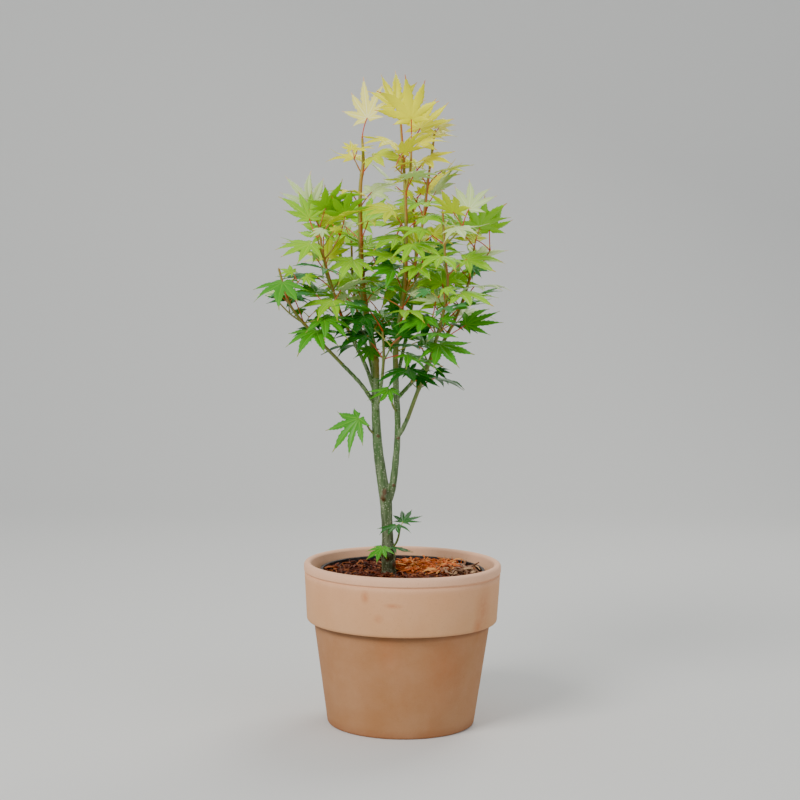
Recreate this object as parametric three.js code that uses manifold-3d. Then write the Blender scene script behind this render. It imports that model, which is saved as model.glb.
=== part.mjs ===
// Potted full moon maple: a young tree with two stems, in its nursery pot inside a terracotta pot.
// Millimetres, +Z up. The origin is the middle of the clay pot's flat underside, and +Y runs away
// from the side that is usually looked at.
import * as THREE from 'three';
import { mergeVertices } from 'three/addons/utils/BufferGeometryUtils.js';
import Module from 'manifold-3d';

const wasm = await Module();
wasm.setup();

// Clearance between pieces that touch
const GAP = 0.3;

// Clay pot
const POT_HEIGHT = 246.4;
const RIM_RADIUS = 150;
const LIP_WALL = 11;
const LIP_HEIGHT = 14;
const LIP_ROUND = 5;
const GROOVE_DEPTH = 0.8;
const BAND_BOTTOM = 157.5;
const BAND_FOOT_RADIUS = 145;
const BAND_ROUND = 4;
const BODY_TOP_RADIUS = 134.5;
const BODY_FOOT_RADIUS = 112.5;
const FOOT_ROUND = 4;
const BODY_WALL = 11;
const POT_FLOOR = 16;
const DRAIN_HOLES = 3;
const DRAIN_RADIUS = 7;
const DRAIN_CIRCLE = 58;
const POT_SEGMENTS = 44;

// Black nursery pot and the bark mulch in it
const NURSERY_TOP = 235;
const NURSERY_TOP_RADIUS = 126;
const NURSERY_FOOT_RADIUS = 96;
const NURSERY_WALL = 2;
const NURSERY_RIM = 3;
const NURSERY_RIM_HEIGHT = 9;
const NURSERY_SEGMENTS = 36;
const SOIL_TOP = 226;
const SOIL_LUMP = 2.6;
const BROAD_LUMP = 12;
const SMALL_LUMP = 7;
const SOIL_RINGS = 5;

// Leaves: a leaf's size is the length of its middle lobe, from the stalk's end to its tip
const LEAF_SIZE = { low: 62, high: 47 };
const TIP_LEAF_SIZE = 1.42;
const STALK_LENGTH = { low: 46, high: 32 };
const STALK_RADIUS = 1.1;
const STALK_RISE = { low: 26, high: 60 };
const LEAF_THICKNESS = 1.3;
const LOBE_TURNS = [0, 36, 75, 118];
const LOBE_LENGTHS = [1, 0.95, 0.78, 0.44];
const LOBE_HALF_WIDTH = 0.14;
const LOBE_SHOULDER = 0.58;
const SINUS_DEPTH = 0.4;
const LEAST_BAY = 0.04;
const HEART_NOTCH = 0.1;
const SHOULDERED_TURN = 40;
const BLADE_DROOP = 0.16;
const BLADE_HANG = { low: 16, high: -34 };
const TIP_HANG = { low: 0, high: -74 };
const LIGHT_LEAN = { least: 0, most: 0.7 };

// A leaf's own turn about its shoot, rise and twist, in degrees. Each try that finds no room widens
// the first two. A stalk or twig may pass close to its own mass in the share nearest to its shoot.
const LEAF_TRIES = 14;
const LEAF_SWING = { first: 30, more: 9 };
const LEAF_LIFT = { first: 26, more: 3 };
const LEAF_TWIST = 36;
const LEAF_CLEARANCE = 0.7;
const CROWDED_STALK = 0.3;
const CROWDED_TWIG = 0.35;

// Side twigs, each with a pair of leaves
const TWIG_LENGTH = { least: 24, most: 58 };
const TWIG_SWING = 60;
const TWIG_RISE = { least: 30, most: 60 };
const TWIG_RADIUS = 1.4;
const TWIG_CHANCE = { low: 0.8, high: 0.5 };
const TWIG_LEAF_SCALE = 0.86;

// Crown: foliage starts at CROWN_FOOT and ends at CROWN_TOP. Each row below is a height with the
// furthest reach to the left and to the right there. Its depth is CROWN_DEPTH of its width.
const CROWN_FOOT = 440;
const CROWN_TOP = 1008;
const CROWN_OUTLINE = [
  [250, -115, 95],
  [430, -115, 140],
  [540, -165, 115],
  [620, -225, 150],
  [700, -263, 174],
  [790, -225, 150],
  [850, -165, 112],
  [930, -118, 104],
  [1008, -62, 42],
];
const CROWN_MIDDLE_Y = 8;
const CROWN_DEPTH = 0.88;
const NODE_SPACING = { low: 37, high: 56 };
const LEAFLESS_FOOT = 10;
const HOME_MARGIN = 4;
const TIP_SPREAD = 0.85;

const up = new THREE.Vector3(0, 0, 1);
const toLight = new THREE.Vector3(-0.15, -1, 0.1);
const radians = THREE.MathUtils.degToRad;
const mix = THREE.MathUtils.lerp;

// Limbs from the ground up. Each starts on the axis of the limb that carries it and is cut back to
// that limb's surface; points run along its middle, with the radius at each point.
const LIMBS = {
  trunk: {
    points: [
      [-20, 0, 226], [-20.5, 0, 235], [-22.4, 0, 258], [-23.2, 0, 279], [-24.5, 0, 306], [-26, 0, 334],
    ],
    radii: [12.2, 10.2, 11.3, 8.8, 8.5, 9.3],
    sides: 12,
  },
  left_stem: {
    points: [[-26, 0, 334], [-39, 3, 414], [-44, 6, 483], [-44, 7, 526]],
    radii: [9.2, 7.4, 6.3, 5.9],
    sides: 12,
  },
  right_stem: {
    points: [[-25, -1, 332], [-16, -3, 366], [-10, -6, 442], [-13, -8, 508], [-14, -8, 536]],
    radii: [5.8, 5.7, 4.7, 4.7, 4.4],
    sides: 12,
  },
  left_low_bough: {
    points: [[-44, 6, 484], [-66, -12, 517], [-95, -24, 548]],
    radii: [3.4, 3.1, 2.8],
    sides: 7,
  },
  left_bough: {
    points: [[-44, 6, 500], [-60, 0, 545], [-84, -6, 593]],
    radii: [3.4, 3.1, 2.8],
    sides: 7,
  },
  right_low_bough: {
    points: [[-10, -6, 438], [-3, -12, 449], [5, -18, 467]],
    radii: [3.6, 3.6, 3.3],
    sides: 7,
  },
  right_back_bough: {
    points: [[-12, -8, 495], [18, 12, 527], [48, 28, 562]],
    radii: [3.2, 3, 2.7],
    sides: 7,
  },
  back_left_bough: {
    points: [[-44, 7, 511], [-55, 40, 555], [-70, 72, 600]],
    radii: [3.1, 2.9, 2.6],
    sides: 7,
  },
  back_bough: {
    points: [[-13, -8, 521], [-3, 34, 566], [6, 64, 612]],
    radii: [3.1, 2.9, 2.6],
    sides: 7,
  },
  front_bough: {
    points: [[-43, 5, 472], [-38, -18, 498], [-34, -36, 528]],
    radii: [2.8, 2.6, 2.4],
    sides: 7,
  },
};

// Masses of foliage. The first shoot is the stem that meets a bough's tip, a stem or the trunk; the
// others fork off it. Leaf pairs sit along every shoot, from its tip or from below its `bare` length,
// each pair a quarter turn from the last. `turn` is the first pair's turn, `scale` and `stalk` size the
// leaves and their stalks, `hang` lets them hang further, and `pairs` limits how many pairs there are.
const MASSES = {
  left_crown: {
    seed: 348,
    turn: 45,
    shoots: [
      {
        points: [
          [-44, 7, 526], [-47, 9, 563], [-65, 14, 657], [-71, 18, 797], [-67, 20, 850], [-69, 20, 888],
        ],
        radii: [5.8, 5.4, 4.5, 3, 2.5, 1.8],
      },
    ],
  },
  right_crown: {
    seed: 341,
    turn: 105,
    shoots: [
      {
        points: [
          [-14, -8, 536], [-14, -9, 572], [-5, -11, 644], [-1, -13, 716], [-3, -14, 804], [-11, -14, 907],
        ],
        radii: [4.3, 3.9, 3.5, 3, 2.5, 1.8],
      },
      {
        points: [[-5, -11, 646], [11, -4, 694], [24, 2, 762], [32, 6, 832], [41, 8, 900]],
        radii: [2.6, 2.5, 2.2, 1.9, 1.6],
        bare: 32,
      },
      {
        points: [[-3, -14, 806], [4, -22, 838], [5, -26, 880]],
        radii: [2, 1.8, 1.6],
      },
    ],
  },
  right_shoot: {
    seed: 336,
    turn: 40,
    shoots: [
      {
        points: [
          [5, -18, 467], [20, -26, 510], [37, -34, 556], [60, -44, 651], [56, -50, 717], [52, -52, 778],
        ],
        radii: [3.2, 3, 2.8, 2.4, 2.1, 1.6],
      },
    ],
  },
  left_shoot: {
    seed: 340,
    turn: 135,
    shoots: [
      {
        points: [[-84, -6, 593], [-101, -10, 631], [-124, -16, 707], [-130, -18, 752]],
        radii: [2.7, 2.5, 2.1, 1.6],
      },
    ],
  },
  left_low_shoot: {
    seed: 300,
    turn: 0,
    shoots: [
      {
        points: [[-95, -24, 548], [-137, -34, 592], [-172, -42, 636], [-189, -46, 690]],
        radii: [2.7, 2.5, 2.1, 1.6],
      },
    ],
  },
  right_back_shoot: {
    seed: 300,
    turn: -40,
    shoots: [
      {
        points: [[48, 28, 562], [78, 38, 620], [98, 44, 680], [104, 46, 726]],
        radii: [2.6, 2.4, 2, 1.6],
      },
    ],
  },
  front_shoot: {
    seed: 304,
    turn: 45,
    shoots: [
      {
        points: [[-34, -36, 528], [-32, -48, 562], [-34, -54, 600]],
        radii: [2.4, 2.1, 1.6],
      },
    ],
  },
  back_left_shoot: {
    seed: 302,
    turn: 55,
    shoots: [
      {
        points: [[-70, 72, 600], [-82, 92, 662], [-86, 98, 735]],
        radii: [2.5, 2.2, 1.6],
      },
    ],
  },
  back_shoot: {
    seed: 302,
    turn: -5,
    shoots: [
      {
        points: [[6, 64, 612], [14, 84, 670], [14, 93, 745], [8, 96, 795]],
        radii: [2.5, 2.3, 2, 1.6],
      },
    ],
  },
  low_left_spur: {
    seed: 302,
    turn: 155,
    hang: 48,
    lean: 1.1,
    stalk: 0.35,
    pairs: 1,
    shoots: [
      {
        points: [[-42, 4, 438], [-51, -3, 446], [-57, -6, 456]],
        radii: [1.9, 1.7, 1.5],
      },
    ],
  },
  low_right_spur: {
    seed: 302,
    turn: 235,
    scale: 0.7,
    pairs: 1,
    shoots: [
      {
        points: [[-11, -7, 474], [-18, -22, 487], [-20, -28, 502]],
        radii: [1.9, 1.7, 1.5],
      },
    ],
  },
  right_base_sprout: {
    seed: 300,
    turn: 250,
    scale: 0.6,
    stalk: 0.6,
    pairs: 1,
    shoots: [
      {
        points: [[-22, 0, 260], [-9, -6, 278], [-4, -8, 302]],
        radii: [1.9, 1.7, 1.5],
      },
    ],
  },
  front_base_sprout: {
    seed: 301,
    turn: 245,
    scale: 0.55,
    stalk: 0.5,
    pairs: 1,
    shoots: [
      {
        points: [[-22, 0, 248], [-25, -15, 256], [-27, -19, 268]],
        radii: [1.8, 1.6, 1.4],
      },
    ],
  },
};

// Small shared helpers

function toSolid(geometry) {
  geometry.deleteAttribute('normal');
  geometry.deleteAttribute('uv');
  const merged = mergeVertices(geometry, 1e-4);
  return new wasm.Manifold(new wasm.Mesh({
    numProp: 3,
    vertProperties: merged.attributes.position.array,
    triVerts: new Uint32Array(merged.index.array),
  }));
}

function toMesh(name, solid, color, roughness) {
  const { vertProperties, triVerts } = solid.getMesh();
  const geometry = new THREE.BufferGeometry();
  geometry.setAttribute('position', new THREE.BufferAttribute(vertProperties, 3));
  geometry.setIndex(new THREE.BufferAttribute(triVerts, 1));
  geometry.computeVertexNormals();
  const mesh = new THREE.Mesh(geometry, new THREE.MeshStandardMaterial({ color, roughness, metalness: 0 }));
  mesh.name = name;
  return mesh;
}

function largestPiece(solid) {
  return solid.decompose().sort((a, b) => b.volume() - a.volume())[0];
}

function touches(a, b) {
  return !a.intersect(b).isEmpty();
}

// A value that goes from `low` at the crown's foot to `high` at its top
function between(range, age) {
  return mix(range.low, range.high, age);
}

// The same row of numbers from the same seed each time
function dice(seed) {
  let state = seed * 7919 + 17;
  return () => {
    state = (state * 48271) % 2147483647;
    return state / 2147483647;
  };
}

function curveOf(limb) {
  const points = limb.points.map((p) => new THREE.Vector3(...p));
  return new THREE.CatmullRomCurve3(points, false, 'catmullrom', 0.5);
}

// The radius of a limb a share t of the way along its points
function radiusAt(limb, t) {
  const place = t * (limb.radii.length - 1);
  const i = Math.min(Math.floor(place), limb.radii.length - 2);
  return mix(limb.radii[i], limb.radii[i + 1], place - i);
}

// Two directions across a limb that runs along `along`
function across(along) {
  const side = Math.abs(along.x) > 0.9 ? new THREE.Vector3(0, 1, 0) : new THREE.Vector3(1, 0, 0);
  side.addScaledVector(along, -along.dot(side)).normalize();
  return [side, new THREE.Vector3().crossVectors(along, side)];
}

// A tapering round limb with flat ends. `grow` makes it that much larger all round.
function limbSolid(limb, sides, grow = 0) {
  const curve = curveOf(limb);
  const rings = (limb.points.length - 1) * 2;
  const stations = [];
  for (let i = 0; i <= rings; i++) {
    const t = i / rings;
    const onGround = i === 0 && limb.points[0][2] === SOIL_TOP;
    const along = onGround ? up : curve.getTangent(t);
    const past = i === 0 ? -grow : i === rings ? grow : 0;
    const middle = curve.getPoint(t).addScaledVector(along, past);
    stations.push({ middle, along, radius: radiusAt(limb, t) + grow });
  }
  return tubeSolid(stations, sides);
}

// A round solid through stations, each a middle, a direction and a radius
function tubeSolid(stations, sides) {
  const positions = stations.flatMap(({ middle, along, radius }) => {
    const [side, rear] = across(along);
    return Array.from({ length: sides }, (_, j) => {
      const turn = (j / sides) * 2 * Math.PI;
      const p = middle.clone().addScaledVector(side, radius * Math.cos(turn));
      return p.addScaledVector(rear, radius * Math.sin(turn)).toArray();
    }).flat();
  });
  return toSolid(ringsGeometry(positions, stations.length, sides));
}

// A three-sided stalk or twig from one point to another
function stalkSolid(from, to, radius) {
  const along = new THREE.Vector3().subVectors(to, from).normalize();
  return tubeSolid([{ middle: from, along, radius }, { middle: to, along, radius }], 3);
}

// Rings of `sides` points each, joined by walls and closed by a flat fan at both ends
function ringsGeometry(positions, rings, sides) {
  const index = [];
  for (let i = 0; i < rings - 1; i++) {
    for (let j = 0; j < sides; j++) {
      const a = i * sides + j;
      const b = i * sides + ((j + 1) % sides);
      index.push(a, b, b + sides, a, b + sides, a + sides);
    }
  }
  const last = (rings - 1) * sides;
  for (let j = 1; j < sides - 1; j++) {
    index.push(0, j + 1, j, last, last + j, last + j + 1);
  }
  const geometry = new THREE.BufferGeometry();
  geometry.setAttribute('position', new THREE.Float32BufferAttribute(positions, 3));
  geometry.setIndex(index);
  return geometry;
}

// Pot

function arc(radius, height, round, from, to, steps = 2) {
  return Array.from({ length: steps + 1 }, (_, i) => {
    const a = radians(mix(from, to, i / steps));
    return new THREE.Vector2(radius + round * Math.cos(a), height + round * Math.sin(a));
  });
}

function turned(profile, segments) {
  const geometry = new THREE.LatheGeometry(profile, segments);
  geometry.rotateX(Math.PI / 2);
  return toSolid(geometry);
}

// The clay pot's section, from the middle of its underside round the outside to its inner floor
function potProfile() {
  const lipFoot = POT_HEIGHT - LIP_HEIGHT;
  return [
    new THREE.Vector2(0, 0),
    ...arc(BODY_FOOT_RADIUS - FOOT_ROUND, FOOT_ROUND, FOOT_ROUND, -90, 0),
    new THREE.Vector2(BODY_TOP_RADIUS, BAND_BOTTOM),
    ...arc(BAND_FOOT_RADIUS - BAND_ROUND, BAND_BOTTOM + BAND_ROUND, BAND_ROUND, -90, 0),
    new THREE.Vector2(RIM_RADIUS - 1, lipFoot - 2),
    new THREE.Vector2(RIM_RADIUS - 1 - GROOVE_DEPTH, lipFoot),
    ...arc(RIM_RADIUS - LIP_ROUND, POT_HEIGHT - LIP_ROUND, LIP_ROUND, 0, 90),
    ...arc(RIM_RADIUS - LIP_WALL + LIP_ROUND, POT_HEIGHT - LIP_ROUND, LIP_ROUND, 90, 180),
    new THREE.Vector2(BODY_TOP_RADIUS - BODY_WALL, BAND_BOTTOM),
    new THREE.Vector2(BODY_FOOT_RADIUS - BODY_WALL, POT_FLOOR),
    new THREE.Vector2(0, POT_FLOOR),
  ];
}

function clayPot() {
  let pot = turned(potProfile(), POT_SEGMENTS);
  for (let i = 0; i < DRAIN_HOLES; i++) {
    const turn = (i / DRAIN_HOLES) * 2 * Math.PI;
    const hole = new THREE.CylinderGeometry(DRAIN_RADIUS, DRAIN_RADIUS, POT_FLOOR * 2, 16);
    hole.rotateX(Math.PI / 2);
    hole.translate(DRAIN_CIRCLE * Math.cos(turn), DRAIN_CIRCLE * Math.sin(turn), POT_FLOOR / 2);
    pot = pot.subtract(toSolid(hole));
  }
  return pot;
}

// The radius of the nursery pot's outside at a height
function nurseryRadius(z) {
  const share = (z - POT_FLOOR) / (NURSERY_TOP - POT_FLOOR);
  return mix(NURSERY_FOOT_RADIUS, NURSERY_TOP_RADIUS - NURSERY_RIM, share);
}

function nurseryPot() {
  const foot = POT_FLOOR + GAP;
  const rimFoot = NURSERY_TOP - NURSERY_RIM_HEIGHT;
  return turned([
    new THREE.Vector2(0, foot),
    new THREE.Vector2(nurseryRadius(foot), foot),
    new THREE.Vector2(nurseryRadius(rimFoot), rimFoot),
    new THREE.Vector2(NURSERY_TOP_RADIUS, rimFoot),
    new THREE.Vector2(NURSERY_TOP_RADIUS, NURSERY_TOP - 1),
    new THREE.Vector2(NURSERY_TOP_RADIUS - 1, NURSERY_TOP),
    new THREE.Vector2(nurseryRadius(NURSERY_TOP) - NURSERY_WALL, NURSERY_TOP),
    new THREE.Vector2(nurseryRadius(foot) - NURSERY_WALL, foot + NURSERY_WALL),
    new THREE.Vector2(0, foot + NURSERY_WALL),
  ], NURSERY_SEGMENTS);
}

// Bark mulch on potting mix, heaped in low lumps on top and cut clear of the trunk's foot
function soil(trunkCut) {
  const foot = POT_FLOOR + 2 * GAP + NURSERY_WALL;
  const inside = NURSERY_WALL + GAP;
  const edge = nurseryRadius(SOIL_TOP) - inside - 0.5;
  const section = [new THREE.Vector2(0, foot), new THREE.Vector2(nurseryRadius(foot) - inside - 0.5, foot)];
  for (let i = SOIL_RINGS; i >= 0; i--) {
    section.push(new THREE.Vector2((edge * i) / SOIL_RINGS, SOIL_TOP));
  }
  const geometry = new THREE.LatheGeometry(section, NURSERY_SEGMENTS);
  geometry.rotateX(Math.PI / 2);
  const place = geometry.attributes.position;
  for (let i = 0; i < place.count; i++) {
    if (place.getZ(i) === SOIL_TOP) {
      const x = place.getX(i);
      const y = place.getY(i);
      const broad = Math.sin(x / BROAD_LUMP + 1) * Math.cos(y / BROAD_LUMP);
      const small = Math.sin((x + y) / SMALL_LUMP);
      const share = Math.hypot(x, y) > edge - 1 ? 0.3 : 1;
      place.setZ(i, SOIL_TOP + SOIL_LUMP * share * (broad + small / 2 + 0.4));
    }
  }
  return largestPiece(toSolid(geometry).subtract(trunkCut));
}

// Leaves

// How far up the crown a height lies, from 0 at its foot to 1 at its top
function ageAt(z) {
  return THREE.MathUtils.clamp((z - CROWN_FOOT) / (CROWN_TOP - 70 - CROWN_FOOT), 0, 1);
}

// The blade's outline as points, each a turn from the middle lobe in degrees and a distance from the
// stalk's end as a share of the leaf's size. `inner` marks the bays between the lobes.
function bladeOutline() {
  const lobes = LOBE_TURNS.map((turn, i) => ({ turn, length: LOBE_LENGTHS[i] }));
  const left = lobes.slice(1).reverse().map(({ turn, length }) => ({ turn: -turn, length }));
  const outline = [];
  [...left, ...lobes].forEach(({ turn, length }, i, all) => {
    const shoulder = THREE.MathUtils.radToDeg(Math.atan2(LOBE_HALF_WIDTH, LOBE_SHOULDER));
    const distance = Math.hypot(LOBE_HALF_WIDTH, LOBE_SHOULDER) * length;
    const tip = { turn, distance: length };
    if (Math.abs(turn) < SHOULDERED_TURN) {
      outline.push({ turn: turn - shoulder, distance }, tip, { turn: turn + shoulder, distance });
    } else {
      outline.push(tip);
    }
    const next = all[i + 1];
    if (next) {
      const bay = SINUS_DEPTH * Math.min(length, next.length) + LEAST_BAY;
      outline.push({ turn: (turn + next.turn) / 2, distance: bay, inner: true });
    }
  });
  outline.push({ turn: 180, distance: HEART_NOTCH, inner: true });
  return outline;
}

const OUTLINE = bladeOutline();

// Triangles of a blade: on top a fan from the raised heart, below the palm and then each lobe
function bladeFaces() {
  const ring = OUTLINE.length;
  const bays = OUTLINE.flatMap(({ inner }, i) => (inner ? [i] : []));
  const notch = ring - 1;
  const faces = OUTLINE.flatMap((_, i) => [ring, (i + 1) % ring, i]);
  bays.forEach((bay, k) => {
    const start = k ? bays[k - 1] : notch;
    for (let i = (start + 1) % ring; i < bay; i++) {
      faces.push(start, i, i + 1);
    }
    if (k && bay !== notch) {
      faces.push(notch, start, bay);
    }
  });
  return faces;
}

const BLADE_FACES = bladeFaces();

// A blade's points: its outline, which droops away from the heart like a low umbrella, and the heart
function bladePoints(leaf, size) {
  const rightward = new THREE.Vector3().crossVectors(leaf.along, leaf.face);
  return OUTLINE.map(({ turn, distance }) => {
    const a = radians(turn * (turn < 180 ? leaf.spread : 1));
    const p = leaf.heart.clone().addScaledVector(rightward, size * distance * Math.sin(a));
    p.addScaledVector(leaf.along, size * distance * Math.cos(a));
    return p.addScaledVector(leaf.face, -BLADE_DROOP * size * distance);
  });
}

function facedSolid(points, faces) {
  const geometry = new THREE.BufferGeometry();
  geometry.setAttribute('position', new THREE.Float32BufferAttribute(points.flatMap((p) => p.toArray()), 3));
  geometry.setIndex(faces);
  return toSolid(geometry);
}

// A thin blade, thickest at its heart
function bladeSolid(leaf) {
  const heart = leaf.heart.clone().addScaledVector(leaf.face, LEAF_THICKNESS);
  return facedSolid([...bladePoints(leaf, leaf.size), heart], BLADE_FACES);
}

// The room that a blade needs: its outline, raised and lowered by the clearance, with a wall between
function bladeRoom(leaf) {
  const ring = bladePoints(leaf, leaf.size + LEAF_CLEARANCE);
  const low = ring.map((p) => p.clone().addScaledVector(leaf.face, -LEAF_CLEARANCE));
  const high = ring.map((p) => p.clone().addScaledVector(leaf.face, LEAF_CLEARANCE));
  const heart = leaf.heart.clone().addScaledVector(leaf.face, LEAF_THICKNESS + LEAF_CLEARANCE);
  const peak = ring.length;
  const faces = BLADE_FACES.slice(3 * ring.length);
  for (let i = 0; i < ring.length; i++) {
    const next = (i + 1) % ring.length;
    const above = peak + 1 + i;
    const nextAbove = peak + 1 + next;
    faces.push(peak, nextAbove, above, above, nextAbove, next, above, next, i);
  }
  return facedSolid([...low, heart, ...high], faces);
}

// One leaf at a node, in degrees: its turn about the shoot, its extra rise, its twist in its own plane,
// and how far it leans to the light. Young leaves near the top stand up, old ones low down hang.
function placeLeaf(node, turn, lift, twist, lean) {
  const { age, habit } = node;
  const out = new THREE.Vector3(Math.cos(radians(turn)), Math.sin(radians(turn)), 0);
  const rise = radians(between(STALK_RISE, age) + lift);
  const stalk = out.clone().multiplyScalar(Math.cos(rise)).addScaledVector(up, Math.sin(rise));
  const reach = between(STALK_LENGTH, age) * node.scale * (habit.stalk ?? 1);
  const heart = node.point.clone().addScaledVector(stalk, reach);
  const hang = radians(between(node.last ? TIP_HANG : BLADE_HANG, age) - lift / 2 + (habit.hang ?? 0));
  const face = up.clone().multiplyScalar(Math.cos(hang)).addScaledVector(out, Math.sin(hang));
  face.addScaledVector(toLight, lean + (habit.lean ?? 0)).normalize();
  const along = out.clone().multiplyScalar(Math.cos(hang)).addScaledVector(up, -Math.sin(hang));
  along.addScaledVector(face, -along.dot(face)).normalize();
  along.applyAxisAngle(face, radians(twist));
  const young = node.last ? mix(1, TIP_LEAF_SIZE, age) : 1;
  const size = between(LEAF_SIZE, age) * node.scale * young;
  return { root: node.point, heart, along, face, size, spread: node.last ? TIP_SPREAD : 1 };
}

// Crown

function outlineAt(z) {
  const rows = CROWN_OUTLINE;
  let i = 0;
  while (i < rows.length - 2 && z > rows[i + 1][0]) i++;
  const t = THREE.MathUtils.clamp((z - rows[i][0]) / (rows[i + 1][0] - rows[i][0]), 0, 1);
  return [mix(rows[i][1], rows[i + 1][1], t), mix(rows[i][2], rows[i + 1][2], t)];
}

function insideCrown(p) {
  const [left, right] = outlineAt(p.z);
  const across = (p.x - (left + right) / 2) / ((right - left) / 2);
  const deep = (p.y - CROWN_MIDDLE_Y) / (((right - left) / 2) * CROWN_DEPTH);
  return p.z < CROWN_TOP && Math.abs(across) <= 1 && across * across * 0.3 + deep * deep <= 1;
}

function leafTips(leaf) {
  return bladePoints(leaf, leaf.size).filter((_, i) => OUTLINE[i].distance > 2 * SINUS_DEPTH);
}

function distanceToShoots(p, mass) {
  let nearest = Infinity;
  for (const line of mass.lines) {
    for (const q of line) nearest = Math.min(nearest, p.distanceTo(q));
  }
  return nearest;
}

// A leaf belongs to the mass whose shoots are nearest to its heart
function atHome(leaf, mass, masses) {
  const own = distanceToShoots(leaf.heart, mass);
  return masses.every((other) => other === mass || distanceToShoots(leaf.heart, other) > own - HOME_MARGIN);
}

// The nodes of a shoot, from its tip down, with the turn of the leaf pair at each
function nodesOf(shoot, mass) {
  const curve = curveOf(shoot);
  const length = curve.getLength();
  const nodes = [];
  let down = shoot.bare ?? 1;
  while (down < length - LEAFLESS_FOOT && nodes.length < (mass.pairs ?? Infinity)) {
    const point = curve.getPointAt(1 - down / length);
    const age = ageAt(point.z);
    const turn = mass.turn + nodes.length * 90;
    const last = nodes.length === 0 && !shoot.bare;
    nodes.push({ point, age, turn, last, scale: mass.scale ?? 1, habit: mass });
    down += between(NODE_SPACING, age) * (mass.scale ?? 1);
  }
  return nodes;
}

// Whether a leaf stays in the crown, at home and clear of everything grown before it
function hasRoom(leaf, mass, crown) {
  const start = leaf.root.clone().lerp(leaf.heart, CROWDED_STALK);
  const foot = stalkSolid(leaf.root, start, STALK_RADIUS + LEAF_CLEARANCE);
  const stalk = stalkSolid(start, leaf.heart, STALK_RADIUS + LEAF_CLEARANCE);
  const guard = bladeRoom(leaf).add(stalk);
  const inside = leafTips(leaf).every(insideCrown) && atHome(leaf, mass, crown.masses);
  return inside && !touches(guard, crown.taken) && !touches(foot, crown.others);
}

// A leaf takes the first turn, rise and twist at which it has room
function growLeaf(node, turn, roll, crown) {
  for (let attempt = 0; attempt < LEAF_TRIES; attempt++) {
    const swing = (roll() - 0.5) * (LEAF_SWING.first + attempt * LEAF_SWING.more);
    const lift = (roll() - 0.5) * (LEAF_LIFT.first + attempt * LEAF_LIFT.more);
    const twist = (roll() - 0.5) * LEAF_TWIST;
    const lean = mix(LIGHT_LEAN.least, LIGHT_LEAN.most, roll());
    const leaf = placeLeaf(node, turn + swing, lift, twist, lean);
    if (!node.blocked && hasRoom(leaf, node.habit, crown)) return leaf;
  }
  return null;
}

// A side twig's end, as a node of its own
function growTwig(node, turn, roll, crown) {
  const heading = radians(turn + (roll() - 0.5) * TWIG_SWING);
  const rise = radians(mix(TWIG_RISE.least, TWIG_RISE.most, roll()));
  const length = mix(TWIG_LENGTH.least, TWIG_LENGTH.most, roll()) * node.scale;
  const point = node.point.clone().add(new THREE.Vector3(
    length * Math.cos(rise) * Math.cos(heading),
    length * Math.cos(rise) * Math.sin(heading),
    length * Math.sin(rise),
  ));
  const start = node.point.clone().lerp(point, CROWDED_TWIG);
  const foot = stalkSolid(node.point, start, TWIG_RADIUS + LEAF_CLEARANCE);
  const guard = stalkSolid(start, point, TWIG_RADIUS + LEAF_CLEARANCE);
  const end = { ...node, point, last: true, age: ageAt(point.z), scale: node.scale * TWIG_LEAF_SCALE };
  end.blocked = touches(guard, crown.taken) || touches(foot, crown.others);
  end.turn = turn + 90;
  return end;
}

function leafSolid(leaf) {
  return bladeSolid(leaf).add(stalkSolid(leaf.root, leaf.heart, STALK_RADIUS));
}

function addLeaves(node, sides, roll, crown, mass) {
  let grown = 0;
  for (const side of sides) {
    const leaf = growLeaf(node, node.turn + side, roll, crown);
    if (leaf) {
      const solid = leafSolid(leaf);
      mass.solid = mass.solid.add(solid);
      crown.taken = crown.taken.add(solid);
      grown++;
    }
  }
  return grown;
}

// Leaves at every node of a mass, then side twigs that carry a pair each
function growMass(mass, crown) {
  const rest = crown.masses.filter((other) => other !== mass);
  crown.others = rest.reduce((sum, other) => sum.add(other.solid), crown.limbs);
  const roll = dice(mass.seed);
  const nodes = mass.shoots.flatMap((shoot) => nodesOf(shoot, mass));
  for (const node of nodes) addLeaves(node, [0, 180], roll, crown, mass);
  for (const node of nodes.filter((n) => !n.last)) {
    for (const side of [0, 180]) {
      if (roll() < between(TWIG_CHANCE, node.age)) {
        const end = growTwig(node, node.turn + side, roll, crown);
        if (addLeaves(end, [0, 180], roll, crown, mass)) {
          const twig = stalkSolid(node.point, end.point, TWIG_RADIUS);
          mass.solid = mass.solid.add(twig);
          crown.taken = crown.taken.add(twig);
        }
      }
    }
  }
}

// All masses, grown one after another, so that each leaf clears the limbs and the leaves before it
function growMasses(limbCut) {
  const masses = Object.entries(MASSES).map(([name, mass]) => ({
    name,
    ...mass,
    lines: mass.shoots.map((shoot) => curveOf(shoot).getPoints(16)),
  }));
  const crown = { masses, limbs: limbCut, taken: limbCut };
  for (const mass of masses) {
    mass.solid = mass.shoots.map((shoot, i) => limbSolid(shoot, i ? 5 : 6)).reduce((a, b) => a.add(b));
    mass.solid = largestPiece(mass.solid.subtract(limbCut));
    crown.taken = crown.taken.add(mass.solid);
  }
  for (const mass of masses) growMass(mass, crown);
  return masses;
}

// The whole plant

const CLAY = '#c98f63';
const BLACK_PLASTIC = '#1b1b1c';
const MULCH = '#5a3422';
const BARK = '#6d7a4c';
const BOUGH = '#6f8a3c';
const LEAF_LOW = new THREE.Color('#4f8a2c');
const LEAF_HIGH = new THREE.Color('#e2d86a');

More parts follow.
